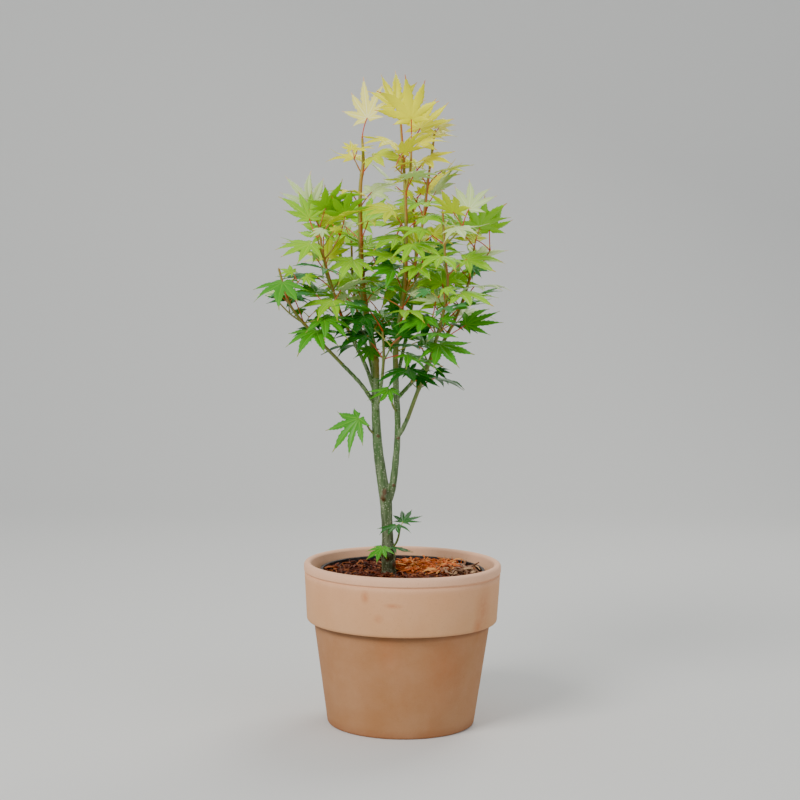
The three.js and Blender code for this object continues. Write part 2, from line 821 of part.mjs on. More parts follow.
const group = new THREE.Group();
let limbCut = null;
for (const [name, limb] of Object.entries(LIMBS)) {
  let solid = limbSolid(limb, limb.sides);
  if (limbCut) solid = largestPiece(solid.subtract(limbCut));
  const grown = limbSolid(limb, limb.sides, GAP);
  limbCut = limbCut ? limbCut.add(grown) : grown;
  group.add(toMesh(name, solid, name.endsWith('bough') ? BOUGH : BARK, 0.75));
}
for (const mass of growMasses(limbCut)) {
  const height = (mass.solid.boundingBox().min[2] + mass.solid.boundingBox().max[2]) / 2;
  const color = LEAF_LOW.clone().lerp(LEAF_HIGH, ageAt(height));
  group.add(toMesh(mass.name, largestPiece(mass.solid), color, 0.6));
}
group.add(toMesh('clay_pot', clayPot(), CLAY, 0.9));
group.add(toMesh('nursery_pot', nurseryPot(), BLACK_PLASTIC, 0.5));
group.add(toMesh('soil', soil(limbSolid(LIMBS.trunk, LIMBS.trunk.sides, GAP)), MULCH, 1));

export default group;
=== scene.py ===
import itertools
import math

import bmesh
import bpy
import numpy as np
from mathutils import Matrix, Vector, kdtree


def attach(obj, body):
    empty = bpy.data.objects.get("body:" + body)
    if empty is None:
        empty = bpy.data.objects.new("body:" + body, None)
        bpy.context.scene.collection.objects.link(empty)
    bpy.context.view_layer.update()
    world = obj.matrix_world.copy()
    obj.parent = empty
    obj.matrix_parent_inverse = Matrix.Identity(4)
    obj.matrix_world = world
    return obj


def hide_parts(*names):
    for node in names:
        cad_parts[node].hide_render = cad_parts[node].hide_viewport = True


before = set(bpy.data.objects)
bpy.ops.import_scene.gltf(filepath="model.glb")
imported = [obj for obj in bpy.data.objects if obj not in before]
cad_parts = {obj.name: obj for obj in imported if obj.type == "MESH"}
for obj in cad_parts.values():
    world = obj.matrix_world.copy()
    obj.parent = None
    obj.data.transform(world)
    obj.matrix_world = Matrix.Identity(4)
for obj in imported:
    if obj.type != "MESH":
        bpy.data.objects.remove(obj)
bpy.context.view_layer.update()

# The view: a camera 2.6 metres off at the height of the crown, looking slightly down on
# the pot, and a pale seamless sweep under large soft lamps.
CAMERA_PLACE = (-0.007, -2.6, 0.692)
CAMERA_PITCH = math.radians(85.62)
CAMERA_ROLL = math.radians(0.71)
LENS_PIXELS = 1723
PICTURE_PIXELS = 800
SENSOR_WIDTH = 36
SWEEP_FRONT = -4.0
SWEEP_BACK = 2.2
SWEEP_BEND = 1.2
SWEEP_TOP = 4.5
SWEEP_HALF_WIDTH = 5.0


def linear(red, green, blue):
    """A colour given as 0 to 255 screen values, as the linear values that shaders take."""
    screen = np.array([red, green, blue]) / 255
    return tuple(np.where(screen <= 0.04045, screen / 12.92, ((screen + 0.055) / 1.055) ** 2.4)) + (1.0,)


def plain_material(name, colour, roughness):
    """A material with one shader, whose colour and roughness are set on its own sockets."""
    material = bpy.data.materials.new(name)
    material.use_nodes = True
    shader = material.node_tree.nodes["Principled BSDF"]
    shader.inputs["Base Color"].default_value = linear(*colour)
    shader.inputs["Roughness"].default_value = roughness
    return material


def mesh_piece(name, points, faces, materials, smooth=True, face_slots=None):
    """A mesh object from points (n, 3) and faces (m, 3 or 4), with one material slot number a face."""
    mesh = bpy.data.meshes.new(name)
    faces = np.asarray(faces, np.int32)
    mesh.vertices.add(len(points))
    mesh.vertices.foreach_set("co", np.asarray(points, np.float32).ravel())
    mesh.loops.add(faces.size)
    mesh.loops.foreach_set("vertex_index", faces.ravel())
    mesh.polygons.add(len(faces))
    mesh.polygons.foreach_set("loop_start", np.arange(0, faces.size, faces.shape[1], dtype=np.int32))
    mesh.polygons.foreach_set("use_smooth", np.full(len(faces), smooth))
    for material in materials:
        mesh.materials.append(material)
    if face_slots is not None:
        mesh.polygons.foreach_set("material_index", np.asarray(face_slots, np.int32))
    mesh.update(calc_edges=True)
    piece = bpy.data.objects.new(name, mesh)
    bpy.context.scene.collection.objects.link(piece)
    return piece


def grid_faces(rows, columns, closed=False):
    """Four-cornered faces of a grid numbered row by row; closed, its last column joins its first."""
    row, column = np.meshgrid(np.arange(rows - 1), np.arange(columns - (not closed)), indexing="ij")
    beside = (column + 1) % columns
    here = row * columns
    ahead = here + columns
    return np.stack([here + column, here + beside, ahead + beside, ahead + column], -1).reshape(-1, 4)


camera = bpy.data.objects.new("camera", bpy.data.cameras.new("camera"))
camera.data.sensor_width = SENSOR_WIDTH
camera.data.lens = LENS_PIXELS * SENSOR_WIDTH / PICTURE_PIXELS
camera.data.clip_end = 50
turned = Matrix.Rotation(CAMERA_PITCH, 4, "X") @ Matrix.Rotation(CAMERA_ROLL, 4, "Z")
camera.matrix_world = Matrix.Translation(CAMERA_PLACE) @ turned
bpy.context.scene.collection.objects.link(camera)
bpy.context.scene.camera = camera

bend = np.linspace(0, np.pi / 2, 13)
sweep_y = np.concatenate([[SWEEP_FRONT], SWEEP_BACK + SWEEP_BEND * np.sin(bend), [SWEEP_BACK + SWEEP_BEND]])
sweep_z = np.concatenate([[0], SWEEP_BEND * (1 - np.cos(bend)), [SWEEP_TOP]])
sweep_sides = (-SWEEP_HALF_WIDTH, SWEEP_HALF_WIDTH)
sweep_points = np.array([(x, y, z) for y, z in zip(sweep_y, sweep_z) for x in sweep_sides])
pale_paper = plain_material("pale_paper", (226, 226, 224), 0.9)
sweep = mesh_piece("studio_sweep", sweep_points, grid_faces(len(sweep_y), 2), [pale_paper])

bpy.context.scene.view_settings.look = "AgX - Punchy"
world = bpy.data.worlds.new("studio")
bpy.context.scene.world = world
world.use_nodes = True
sky = world.node_tree.nodes["Background"].inputs
sky["Color"].default_value = (0.9, 0.95, 1.0, 1.0)
sky["Strength"].default_value = 0.78
LAMPS = {
    "key": {"place": (-1.9, -2.3, 2.7), "size": 1.5, "watts": 185, "colour": (1.0, 0.97, 0.92)},
    "fill": {"place": (2.5, -2.0, 1.6), "size": 2.2, "watts": 22, "colour": (0.93, 0.97, 1.0)},
    "back": {"place": (0.9, 1.7, 2.5), "size": 1.4, "watts": 60, "colour": (1.0, 0.98, 0.92)},
}
LAMP_AIM = Vector((0, 0, 0.5))
for lamp_name, lamp_facts in LAMPS.items():
    lamp_data = bpy.data.lights.new(lamp_name, "AREA")
    lamp_data.size = lamp_facts["size"]
    lamp_data.energy = lamp_facts["watts"]
    lamp_data.color = lamp_facts["colour"]
    lamp = bpy.data.objects.new(lamp_name, lamp_data)
    lamp.location = lamp_facts["place"]
    lamp.rotation_euler = (LAMP_AIM - lamp.location).to_track_quat("-Z", "Y").to_euler()
    bpy.context.scene.collection.objects.link(lamp)

# Clay pot: machine-pressed terracotta, fired and unglazed, with a tall band under a rounded lip, a
# fine groove below the lip, and three drain holes. It is pale at the lip and browner below the band,
# partly its own clay and partly painted light: a painted highlight towards the lip, painted shade low on
# the body, and a painted shadow under the band. It has a faint lime bloom and a few orange iron stains,
# each given as place, reach, stretch, strength.
POT_HEIGHT = 0.2464
RIM_RADIUS = 0.150
LIP_WALL = 0.011
LIP_HEIGHT = 0.014
LIP_ROUND = 0.0052
GROOVE_DEPTH = 0.0008
BAND_BOTTOM = 0.1575
BAND_FOOT_RADIUS = 0.145
BAND_ROUND = 0.004
BODY_TOP_RADIUS = 0.1345
BODY_FOOT_RADIUS = 0.1125
FOOT_ROUND = 0.004
BODY_WALL = 0.011
POT_FLOOR = 0.016
DRAIN_RADIUS = 0.007
DRAIN_CIRCLE = 0.058
POT_SEGMENTS = 192
CLAY_STAINS = (
    ((-0.054, -0.138, 0.217), 0.010, (1.2, 1, 0.8), 0.6),
    ((-0.013, -0.147, 0.206), 0.012, (0.7, 1, 2.4), 0.6),
    ((-0.034, -0.142, 0.186), 0.009, (1, 1, 1), 0.35),
    ((0.120, -0.085, 0.188), 0.034, (1.8, 1, 0.7), 0.45),
    ((0.112, -0.094, 0.165), 0.016, (1.2, 1, 1), 0.5),
    ((-0.020, -0.128, 0.132), 0.030, (1.4, 1, 0.8), 0.25),
    ((0.064, -0.108, 0.110), 0.050, (1.0, 1, 0.6), 0.25),
)


def arc(radius, height, round_radius, start, end, steps=8):
    """Points (radius, height) of a circle's arc about a centre, from one angle to another in degrees."""
    angles = np.radians(np.linspace(start, end, steps + 1))
    return np.stack([radius + round_radius * np.cos(angles), height + round_radius * np.sin(angles)], 1)


def straight(start, end, steps):
    """Points evenly spaced from just after one point to just before another."""
    share = np.linspace(0, 1, steps + 1)[1:-1, None]
    return np.array(start) * (1 - share) + np.array(end) * share


def turned_surface(profile, segments):
    """A profile of (radius, height) points carried round the axis: x = r cos a, y = r sin a, z = h."""
    angles = np.arange(segments) * 2 * np.pi / segments
    radius, height = np.asarray(profile).T
    points = np.stack([
        radius[:, None] * np.cos(angles),
        radius[:, None] * np.sin(angles),
        np.repeat(height[:, None], segments, 1),
    ], -1)
    return points.reshape(-1, 3), grid_faces(len(profile), segments, closed=True)


def welded(piece):
    """Joins the points that meet at poles and seams, and turns every face outward."""
    shape = bmesh.new()
    shape.from_mesh(piece.data)
    bmesh.ops.remove_doubles(shape, verts=shape.verts, dist=1e-6)
    bmesh.ops.recalc_face_normals(shape, faces=shape.faces)
    shape.to_mesh(piece.data)
    shape.free()
    return piece


def pot_profile():
    """The pot's section: underside, body wall, band, groove, lip, then down the inside to the floor."""
    lip_foot = POT_HEIGHT - LIP_HEIGHT
    lip_centre = POT_HEIGHT - LIP_ROUND
    inside_lip, inside_band = RIM_RADIUS - LIP_WALL, BODY_TOP_RADIUS - BODY_WALL
    return np.concatenate([
        [[0, 0], [0.03, 0], [0.08, 0]],
        arc(BODY_FOOT_RADIUS - FOOT_ROUND, FOOT_ROUND, FOOT_ROUND, -90, 0),
        straight((BODY_FOOT_RADIUS, FOOT_ROUND), (BODY_TOP_RADIUS, BAND_BOTTOM), 24),
        [[BODY_TOP_RADIUS - 0.0004, BAND_BOTTOM - 0.0012], [BODY_TOP_RADIUS, BAND_BOTTOM]],
        arc(BAND_FOOT_RADIUS - BAND_ROUND, BAND_BOTTOM + BAND_ROUND, BAND_ROUND, -90, 0),
        straight((BAND_FOOT_RADIUS, BAND_BOTTOM + BAND_ROUND), (RIM_RADIUS - 0.001, lip_foot - 0.0022), 14),
        arc(RIM_RADIUS - 0.001, lip_foot - 0.0008, GROOVE_DEPTH + 0.0004, -90, -270, 6),
        arc(RIM_RADIUS - 0.0022, lip_foot + 0.0025, 0.0022, -90, 0, 4),
        arc(RIM_RADIUS - LIP_ROUND, lip_centre, LIP_ROUND, 0, 90),
        arc(inside_lip + LIP_ROUND, lip_centre, LIP_ROUND, 90, 180),
        straight((inside_lip, lip_centre), (inside_band, BAND_BOTTOM), 8),
        [[inside_band, BAND_BOTTOM], [BODY_FOOT_RADIUS - BODY_WALL, POT_FLOOR], [0, POT_FLOOR]],
    ])


def cut_drain_holes(pot):
    """Three round holes through the pot's floor, a third of a turn apart."""
    cutters = []
    section = [(0, -0.01), (DRAIN_RADIUS, -0.01), (DRAIN_RADIUS, 0.03), (0, 0.03)]
    rod_points, rod_faces = turned_surface(section, 32)
    for turn in np.arange(3) * 2 * np.pi / 3:
        place = [DRAIN_CIRCLE * math.cos(turn), DRAIN_CIRCLE * math.sin(turn), 0]
        cutters.append(welded(mesh_piece("drain_cutter", rod_points + place, rod_faces, [])))
    for cutter in cutters:
        cut = pot.modifiers.new("drain", "BOOLEAN")
        cut.operation = "DIFFERENCE"
        cut.solver = "EXACT"
        cut.object = cutter
    bpy.context.view_layer.update()
    cut_mesh = bpy.data.meshes.new_from_object(pot.evaluated_get(bpy.context.evaluated_depsgraph_get()))
    pot.modifiers.clear()
    pot.data = cut_mesh
    for cutter in cutters:
        bpy.data.objects.remove(cutter)


class NodeWork:
    """Adds shader nodes to one material and links them, so that a recipe reads line by line."""

    def __init__(self, material):
        self.tree = material.node_tree
        self.shader = self.tree.nodes["Principled BSDF"]

    def add(self, kind, settings=None, **inputs):
        """A node, with its settings and with each named input set to a value or linked to a socket."""
        node = self.tree.nodes.new(kind)
        for key, value in (settings or {}).items():
            setattr(node, key, value)
        for key, value in inputs.items():
            self.put(node.inputs[key.replace("_", " ")], value)
        return node

    def put(self, socket, value):
        """Sets a socket to a value, or links it to another node's output."""
        if isinstance(value, bpy.types.NodeSocket):
            self.tree.links.new(value, socket)
        else:
            socket.default_value = value

    def place(self, stretch=(1, 1, 1), middle=(0, 0, 0)):
        """The surface's own place in metres, measured from a middle and stretched along each axis."""
        where = self.add("ShaderNodeTexCoord").outputs["Object"]
        shift = tuple(-s * m for s, m in zip(stretch, middle))
        return self.add("ShaderNodeMapping", Vector=where, Scale=stretch, Location=shift).outputs["Vector"]

    def noise(self, scale, detail=4.0, rough=0.5, stretch=(1, 1, 1)):
        """Cloudy noise with about `scale` waves to the metre."""
        where = self.place(stretch)
        node = self.add("ShaderNodeTexNoise", Vector=where, Scale=scale, Detail=detail, Roughness=rough)
        return node.outputs["Fac"]

    def pores(self, scale, stretch, edges):
        """Scattered dots: 1 in the middle of each cell, 0 beyond the second edge."""
        where = self.place(stretch)
        node = self.add("ShaderNodeTexVoronoi", Vector=where, Scale=scale, Randomness=1.0)
        return self.grey(node.outputs["Distance"], *edges, 1, 0)

    def ramp(self, value, *stops):
        """Colours or greys at given shares of a value, blended between."""
        node = self.add("ShaderNodeValToRGB", Fac=value)
        band = node.color_ramp
        band.elements[0].position, band.elements[0].color = stops[0]
        band.elements[1].position, band.elements[1].color = stops[-1]
        for position, colour in stops[1:-1]:
            band.elements.new(position).color = colour
        return node.outputs["Color"]

    def grey(self, value, low, high, black=0.0, white=1.0):
        """Maps a value's range from low to high onto black to white."""
        node = self.add("ShaderNodeMapRange", Value=value)
        for socket, number in zip(("From Min", "From Max", "To Min", "To Max"), (low, high, black, white)):
            node.inputs[socket].default_value = number
        return node.outputs["Result"]

    def mix(self, share, first, second):
        """Blends two colours by a share."""
        node = self.add("ShaderNodeMix", {"data_type": "RGBA"}, Factor=share)
        self.put(node.inputs[6], first)
        self.put(node.inputs[7], second)
        return node.outputs[2]

    def maths(self, operation, first, second):
        """One sum on two numbers."""
        node = self.add("ShaderNodeMath", {"operation": operation})
        self.put(node.inputs[0], first)
        self.put(node.inputs[1], second)
        return node.outputs[0]

    def tinted(self, base, share, strength, colour):
        """A base colour mixed towards another by a share times a strength."""
        return self.mix(self.maths("MULTIPLY", share, strength), base, linear(*colour))

    def height(self):
        """How high the surface is, in metres."""
        where = self.add("ShaderNodeTexCoord").outputs["Object"]
        return self.add("ShaderNodeSeparateXYZ", Vector=where).outputs["Z"]

    def near(self, middle, reach, stretch=(1, 1, 1)):
        """1 at a middle, falling to 0 at `reach` metres from it, or sooner along a stretched axis."""
        gap = self.add("ShaderNodeVectorMath", {"operation": "LENGTH"}, Vector=self.place(stretch, middle))
        return self.grey(gap.outputs["Value"], 0, reach, 1, 0)

    def finish(self, colour, roughness, relief, distance, strength):
        """Gives the shader its colour and roughness where there are any, and a relief in metres."""
        node = self.add("ShaderNodeBump", Height=relief, Distance=distance, Strength=strength)
        for socket, value in (("Base Color", colour), ("Roughness", roughness), ("Normal", node.outputs[0])):
            if value is not None:
                self.put(self.shader.inputs[socket], value)


def terracotta():
    """Fired clay: warm buff mottled with lime bloom and iron, paler towards the lip and darker low down,
    partly its own colour and partly painted highlight and painted shade, with a painted shadow under the
    band, faint turning lines and fine pores."""
    material = plain_material("fired_clay", (205, 150, 110), 0.86)
    work = NodeWork(material)
    height = work.height()
    # Colour by height: partly the clay's own, with the band paler than the body, and partly painted light: a
    # painted highlight towards the lip and painted shade darkening the body towards the foot.
    by_height = work.ramp(
        work.grey(height, 0, POT_HEIGHT),
        (0.0, linear(160, 104, 64)),
        (0.06, linear(176, 124, 80)),
        (0.62, linear(178, 124, 80)),
        (0.66, linear(218, 164, 116)),
        (0.90, linear(228, 170, 124)),
        (0.955, linear(242, 188, 150)),
        (1.0, linear(246, 194, 160)),
    )
    cloud = work.grey(work.noise(16, 5, 0.6), 0.35, 0.7)
    colour = work.tinted(by_height, cloud, 0.12, (240, 206, 172))
    smears = work.grey(work.noise(26, 3, 0.55, (1, 1, 0.25)), 0.52, 0.74)
    colour = work.tinted(colour, smears, 0.10, (176, 100, 52))
    specks = work.grey(work.noise(900, 2, 0.5), 0.60, 0.72)
    colour = work.tinted(colour, specks, 0.30, (140, 84, 50))
    # Painted shadow: a narrow dark brown band on the body just under the band's overhang, where the band
    # shades it.
    painted_band_shadow = work.grey(height, BAND_BOTTOM - 0.009, BAND_BOTTOM - 0.0005)
    below = work.maths("LESS_THAN", height, BAND_BOTTOM + 0.0012)
    colour = work.tinted(colour, work.maths("MULTIPLY", painted_band_shadow, below), 0.75, (84, 46, 26))
    for middle, reach, stretch, strength in CLAY_STAINS:
        patchy = work.grey(work.noise(160, 4, 0.6), 0.2, 0.6, 0.35, 1)
        spot = work.maths("MULTIPLY", work.near(middle, reach, stretch), patchy)
        colour = work.tinted(colour, spot, strength, (196, 104, 50))
    lines = work.noise(36, 3, 0.6, (0.05, 0.05, 14))
    grain = work.noise(1300, 3, 0.6)
    pits = work.grey(work.noise(420, 2, 0.5), 0.28, 0.40)
    relief = work.maths("ADD", work.maths("MULTIPLY", lines, 0.5), work.maths("MULTIPLY", grain, 0.35))
    relief = work.maths("ADD", relief, work.maths("MULTIPLY", pits, 0.5))
    work.finish(colour, work.grey(work.noise(60), 0.3, 0.7, 0.78, 0.93), relief, 0.0006, 0.55)
    return material


pot_points, pot_faces = turned_surface(pot_profile(), POT_SEGMENTS)
clay_pot = welded(mesh_piece("terracotta_pot", pot_points, pot_faces, [terracotta()]))
cut_drain_holes(clay_pot)
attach(clay_pot, "root")
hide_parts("clay_pot")

# Nursery pot: thin black moulded plastic with a rolled rim, scuffed and dusty, standing loose inside
# the clay pot. Only its rim and the inside above the mulch can be seen.
NURSERY_TOP = 0.235
NURSERY_TOP_RADIUS = 0.126
NURSERY_FOOT_RADIUS = 0.096
NURSERY_WALL = 0.002
NURSERY_RIM = 0.003
NURSERY_RIM_HEIGHT = 0.009
NURSERY_SEGMENTS = 128
GAP = 0.0003


def nursery_radius(height):
    """The outside radius of the nursery pot at a height: a straight taper."""
    share = (height - POT_FLOOR) / (NURSERY_TOP - POT_FLOOR)
    return NURSERY_FOOT_RADIUS + (NURSERY_TOP_RADIUS - NURSERY_RIM - NURSERY_FOOT_RADIUS) * share


def nursery_profile():
    """Foot, wall, rolled rim, and the wall's inside down to the inner floor."""
    foot = POT_FLOOR + GAP
    rim_foot = NURSERY_TOP - NURSERY_RIM_HEIGHT
    return np.concatenate([
        [[0, foot], [nursery_radius(foot), foot]],
        [[nursery_radius(rim_foot), rim_foot], [NURSERY_TOP_RADIUS - 0.0004, rim_foot]],
        [[NURSERY_TOP_RADIUS, rim_foot + 0.0004]],
        arc(NURSERY_TOP_RADIUS - 0.0015, NURSERY_TOP - 0.0015, 0.0015, 0, 90, 4),
        arc(nursery_radius(NURSERY_TOP) - NURSERY_WALL + 0.001, NURSERY_TOP - 0.001, 0.001, 90, 180, 4),
        [[nursery_radius(foot) - NURSERY_WALL, foot + NURSERY_WALL], [0, foot + NURSERY_WALL]],
    ])


def black_plastic():
    """Soft black plastic with scuffs and a little dried soil."""
    material = plain_material("black_plastic", (22, 22, 24), 0.45)
    work = NodeWork(material)
    dust = work.grey(work.noise(70, 5, 0.6), 0.50, 0.75)
    dusty = work.tinted(linear(20, 20, 22), dust, 0.5, (84, 66, 52))
    scuffs = work.grey(work.noise(120), 0.3, 0.7, 0.35, 0.62)
    work.finish(dusty, scuffs, work.noise(160, 3, 0.5, (1, 1, 3)), 0.0003, 0.4)
    return material


nursery_points, nursery_faces = turned_surface(nursery_profile(), NURSERY_SEGMENTS)
nursery_pot = welded(mesh_piece("inner_pot", nursery_points, nursery_faces, [black_plastic()]))
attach(nursery_pot, "root")
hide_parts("nursery_pot")

# Mulch: shredded bark strewn over the potting mix: dark red-brown chips all over, bright orange
# shreds heaped behind the trunk and to its right, and a few grey curls at the right.
SOIL_TOP = 0.226
MULCH_REACH = nursery_radius(SOIL_TOP) - NURSERY_WALL - 0.003
TRUNK_FOOT = np.array([-0.020, 0.0])
TRUNK_CLEARANCE = 0.014
SPARE_TRIES = 3
CHIP_THICKNESS = 0.0008
CHIP_TILT = 0.28
CHIP_ROLL = 0.6
CHIP_ARCH = 0.22
CHIP_WIDTHS = (0.5, 1.5)
CHIP_RAGGED = (0.7, 1.3)
CHIP_GROUPS = {
    "dark_chips": {
        "seed": 1, "count": 1750, "middle": (0, 0), "spread": 1.0, "rise": (0.0005, 0.0060),
        "length": (0.006, 0.022), "width": 0.0028,
        "colours": ((82, 38, 24), (116, 54, 30), (54, 27, 18), (96, 46, 26), (156, 88, 48)),
    },
    "orange_shreds": {
        "seed": 2, "count": 430, "middle": (0.036, 0.038), "spread": 0.50, "rise": (0.003, 0.0115),
        "length": (0.008, 0.026), "width": 0.0026,
        "colours": ((206, 98, 36), (232, 132, 58), (160, 70, 30), (240, 166, 92)),
    },
    "grey_curls": {
        "seed": 3, "count": 110, "middle": (0.082, 0.006), "spread": 0.30, "rise": (0.004, 0.0110),
        "length": (0.010, 0.026), "width": 0.0034,
        "colours": ((168, 132, 106), (134, 96, 72), (200, 160, 120)),
    },
}


def turned_by(first, second, angle):
    """Two coordinates turned about the third axis: (a cos t - b sin t, a sin t + b cos t)."""
    return first * np.cos(angle) - second * np.sin(angle), first * np.sin(angle) + second * np.cos(angle)


def bark_chips(facts):
    """Chips as bent slivers: a 5 by 3 grid each, its middle line an arc, its width a lens that ends in a
    ragged point, rolled and tilted a little, turned about Z by any angle, all chips at once."""
    draw = np.random.default_rng(facts["seed"])
    tries = facts["count"] * SPARE_TRIES
    radius = MULCH_REACH * facts["spread"] * np.sqrt(draw.random(tries))
    angle = draw.random(tries) * 2 * np.pi
    middle = np.stack([radius * np.cos(angle), radius * np.sin(angle)], 1) + facts["middle"]
    clear = (np.hypot(*middle.T) < MULCH_REACH) & (np.hypot(*(middle - TRUNK_FOOT).T) > TRUNK_CLEARANCE)
    middle = middle[clear][: facts["count"], :, None, None]
    shape = (len(middle), 1, 1)
    length = draw.uniform(*facts["length"], shape)
    width = facts["width"] * draw.uniform(*CHIP_WIDTHS, shape)
    heading = draw.random(shape) * 2 * np.pi
    tilt, roll, arch = (draw.normal(0, usual, shape) for usual in (CHIP_TILT, CHIP_ROLL, CHIP_ARCH))
    along = np.linspace(-0.5, 0.5, 5)[:, None]
    lens = np.array([0.35, 0.9, 1.0, 0.8, 0.25])[:, None]
    side = np.array([-0.5, 0, 0.5])
    x = length * along + np.zeros((len(middle), 5, 3))
    y = width * lens * side * draw.uniform(*CHIP_RAGGED, (len(middle), 5, 1))
    z = 2 * length * arch * (0.25 - along**2) + 0.25 * width * (1 - 4 * side**2)
    y, z = turned_by(y, z, roll)
    x, z = turned_by(x, z, tilt)
    x, y = turned_by(x, y, heading)
    rise = SOIL_TOP + draw.uniform(*facts["rise"], shape)
    top = np.stack([x + middle[:, 0], y + middle[:, 1], z + rise], -1).reshape(-1, 15, 3)
    points = np.concatenate([top, top - [0, 0, CHIP_THICKNESS]], 1)
    sheet = grid_faces(5, 3)
    rim = np.array([0, 1, 2, 5, 8, 11, 14, 13, 12, 9, 6, 3])
    wall = np.stack([np.roll(rim, -1), rim, rim + 15, np.roll(rim, -1) + 15], 1)
    one = np.concatenate([sheet, sheet[:, ::-1] + 15, wall])
    faces = (one[None] + 30 * np.arange(len(top))[:, None, None]).reshape(-1, 4)
    slots = np.repeat(draw.integers(0, len(facts["colours"]), len(top)), len(one))
    return points.reshape(-1, 3), faces, slots


def chip_material(name, colour):
    """Split bark: one colour, broken by long fibres in the surface."""
    material = plain_material(name, colour, 0.8)
    work = NodeWork(material)
    work.finish(None, None, work.noise(900, 4, 0.7), 0.0005, 0.8)
    return material


def potting_mix():
    """Dark damp mix of fine bark and peat between the chips."""
    material = plain_material("potting_mix", (50, 30, 22), 0.95)
    work = NodeWork(material)
    crumbs = work.noise(260, 5, 0.7)
    tones = ((0.3, linear(22, 13, 10)), (0.5, linear(66, 36, 24)), (0.66, linear(120, 66, 38)))
    work.finish(work.ramp(crumbs, *tones), None, crumbs, 0.003, 1.0)
    return material


for group_name, group_facts in CHIP_GROUPS.items():
    chip_points, chip_faces, chip_slots = bark_chips(group_facts)
    tones = enumerate(group_facts["colours"])
    chip_looks = [chip_material(f"{group_name}_{number}", colour) for number, colour in tones]
    chips = mesh_piece(group_name, chip_points, chip_faces, chip_looks, False, chip_slots)
    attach(chips, "root")
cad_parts["soil"].data.materials.clear()
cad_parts["soil"].data.materials.append(potting_mix())

# Bark: one skin over the trunk, both stems and the boughs, grown together at the fork and the
# crotches. It is grey-green and smooth, with pale pores, a swollen graft, pruning scars and a stub.
# A limb or stub is its points and radii, a scar its middle, reach and rise, all in millimetres.
MM = 0.001
LIMBS = {
    "trunk": (
        [(-20, 0, 223), (-20.5, 0, 235), (-22.4, 0, 258), (-23.2, 0, 279), (-24.5, 0, 306), (-26, 0, 334)],
        [12.2, 10.2, 11.3, 8.8, 8.5, 9.3]),
    "left_stem": ([(-26, 0, 334), (-39, 3, 414), (-44, 6, 483), (-44, 7, 526)], [9.2, 7.4, 6.3, 5.9]),
    "right_stem": (
        [(-25, -1, 332), (-16, -3, 366), (-10, -6, 442), (-13, -8, 508), (-14, -8, 536)],
        [5.8, 5.7, 4.7, 4.7, 4.4]),
    "left_low_bough": ([(-44, 6, 484), (-66, -12, 517), (-95, -24, 548)], [3.4, 3.1, 2.8]),
    "left_bough": ([(-44, 6, 500), (-60, 0, 545), (-84, -6, 593)], [3.4, 3.1, 2.8]),
    "right_low_bough": ([(-10, -6, 438), (-3, -12, 449), (5, -18, 467)], [3.6, 3.6, 3.3]),
    "right_back_bough": ([(-12, -8, 495), (18, 12, 527), (48, 28, 562)], [3.2, 3, 2.7]),
    "back_left_bough": ([(-44, 7, 511), (-55, 40, 555), (-70, 72, 600)], [3.1, 2.9, 2.6]),
    "back_bough": ([(-13, -8, 521), (-3, 34, 566), (6, 64, 612)], [3.1, 2.9, 2.6]),
    "front_bough": ([(-43, 5, 472), (-38, -18, 498), (-34, -36, 528)], [2.8, 2.6, 2.4]),
}
LIMB_RINGS = 60
LIMB_SIDES = 28
SKIN_VOXEL = 0.0009
RIPPLE = 0.00012
STUBS = {
    "fork_stub": (
        [(-28, -2, 340), (-29, -10, 346), (-28.5, -11.5, 354), (-26.5, -12, 361)], [4.6, 3.4, 2.4, 1.4]),
    "fork_splinter": ([(-27, -4, 342), (-32, -10, 344), (-34.5, -12, 343)], [3.4, 2.2, 1.0]),
}
SCARS = {
    "left_scar": ((-39, -4, 438), 3.6, 0.9),
    "right_scar": ((-9, -10, 436), 3.4, 1.0),
    "left_knot": ((-50, 2, 498), 3.4, 1.2),
    "right_ring": ((-15, -8, 364), 3.0, 0.7),
    "graft_knee": ((-30, -8, 261), 7.0, 2.2),
    "graft_hollow": ((-23, -11, 250), 4.5, -1.6),
    "foot_knob": ((-12, -7, 243), 6.0, 1.6),
}
DEAD_TIP_REACH = 7.0
ROOT_SWELL_TOP = 0.246
ROOT_SWELL_HEIGHT = 0.027


def catmull_rom(points, share):
    """Places at shares 0 to 1 along a uniform Catmull-Rom curve through the points, whose ends go on
    straight: a cubic on each span, with half the chord between the neighbours as its slope."""
    points = np.asarray(points, float)
    padded = np.concatenate([[2 * points[0] - points[1]], points, [2 * points[-1] - points[-2]]])
    where = np.asarray(share, float) * (len(points) - 1)
    span = np.minimum(where.astype(int), len(points) - 2)
    w = (where - span)[:, None]
    before, start, end, after = (padded[span + k] for k in range(4))
    leaving, arriving = (end - before) / 2, (after - start) / 2
    second = -3 * start + 3 * end - 2 * leaving - arriving
    third = 2 * start - 2 * end + leaving + arriving
    return start + leaving * w + second * w**2 + third * w**3


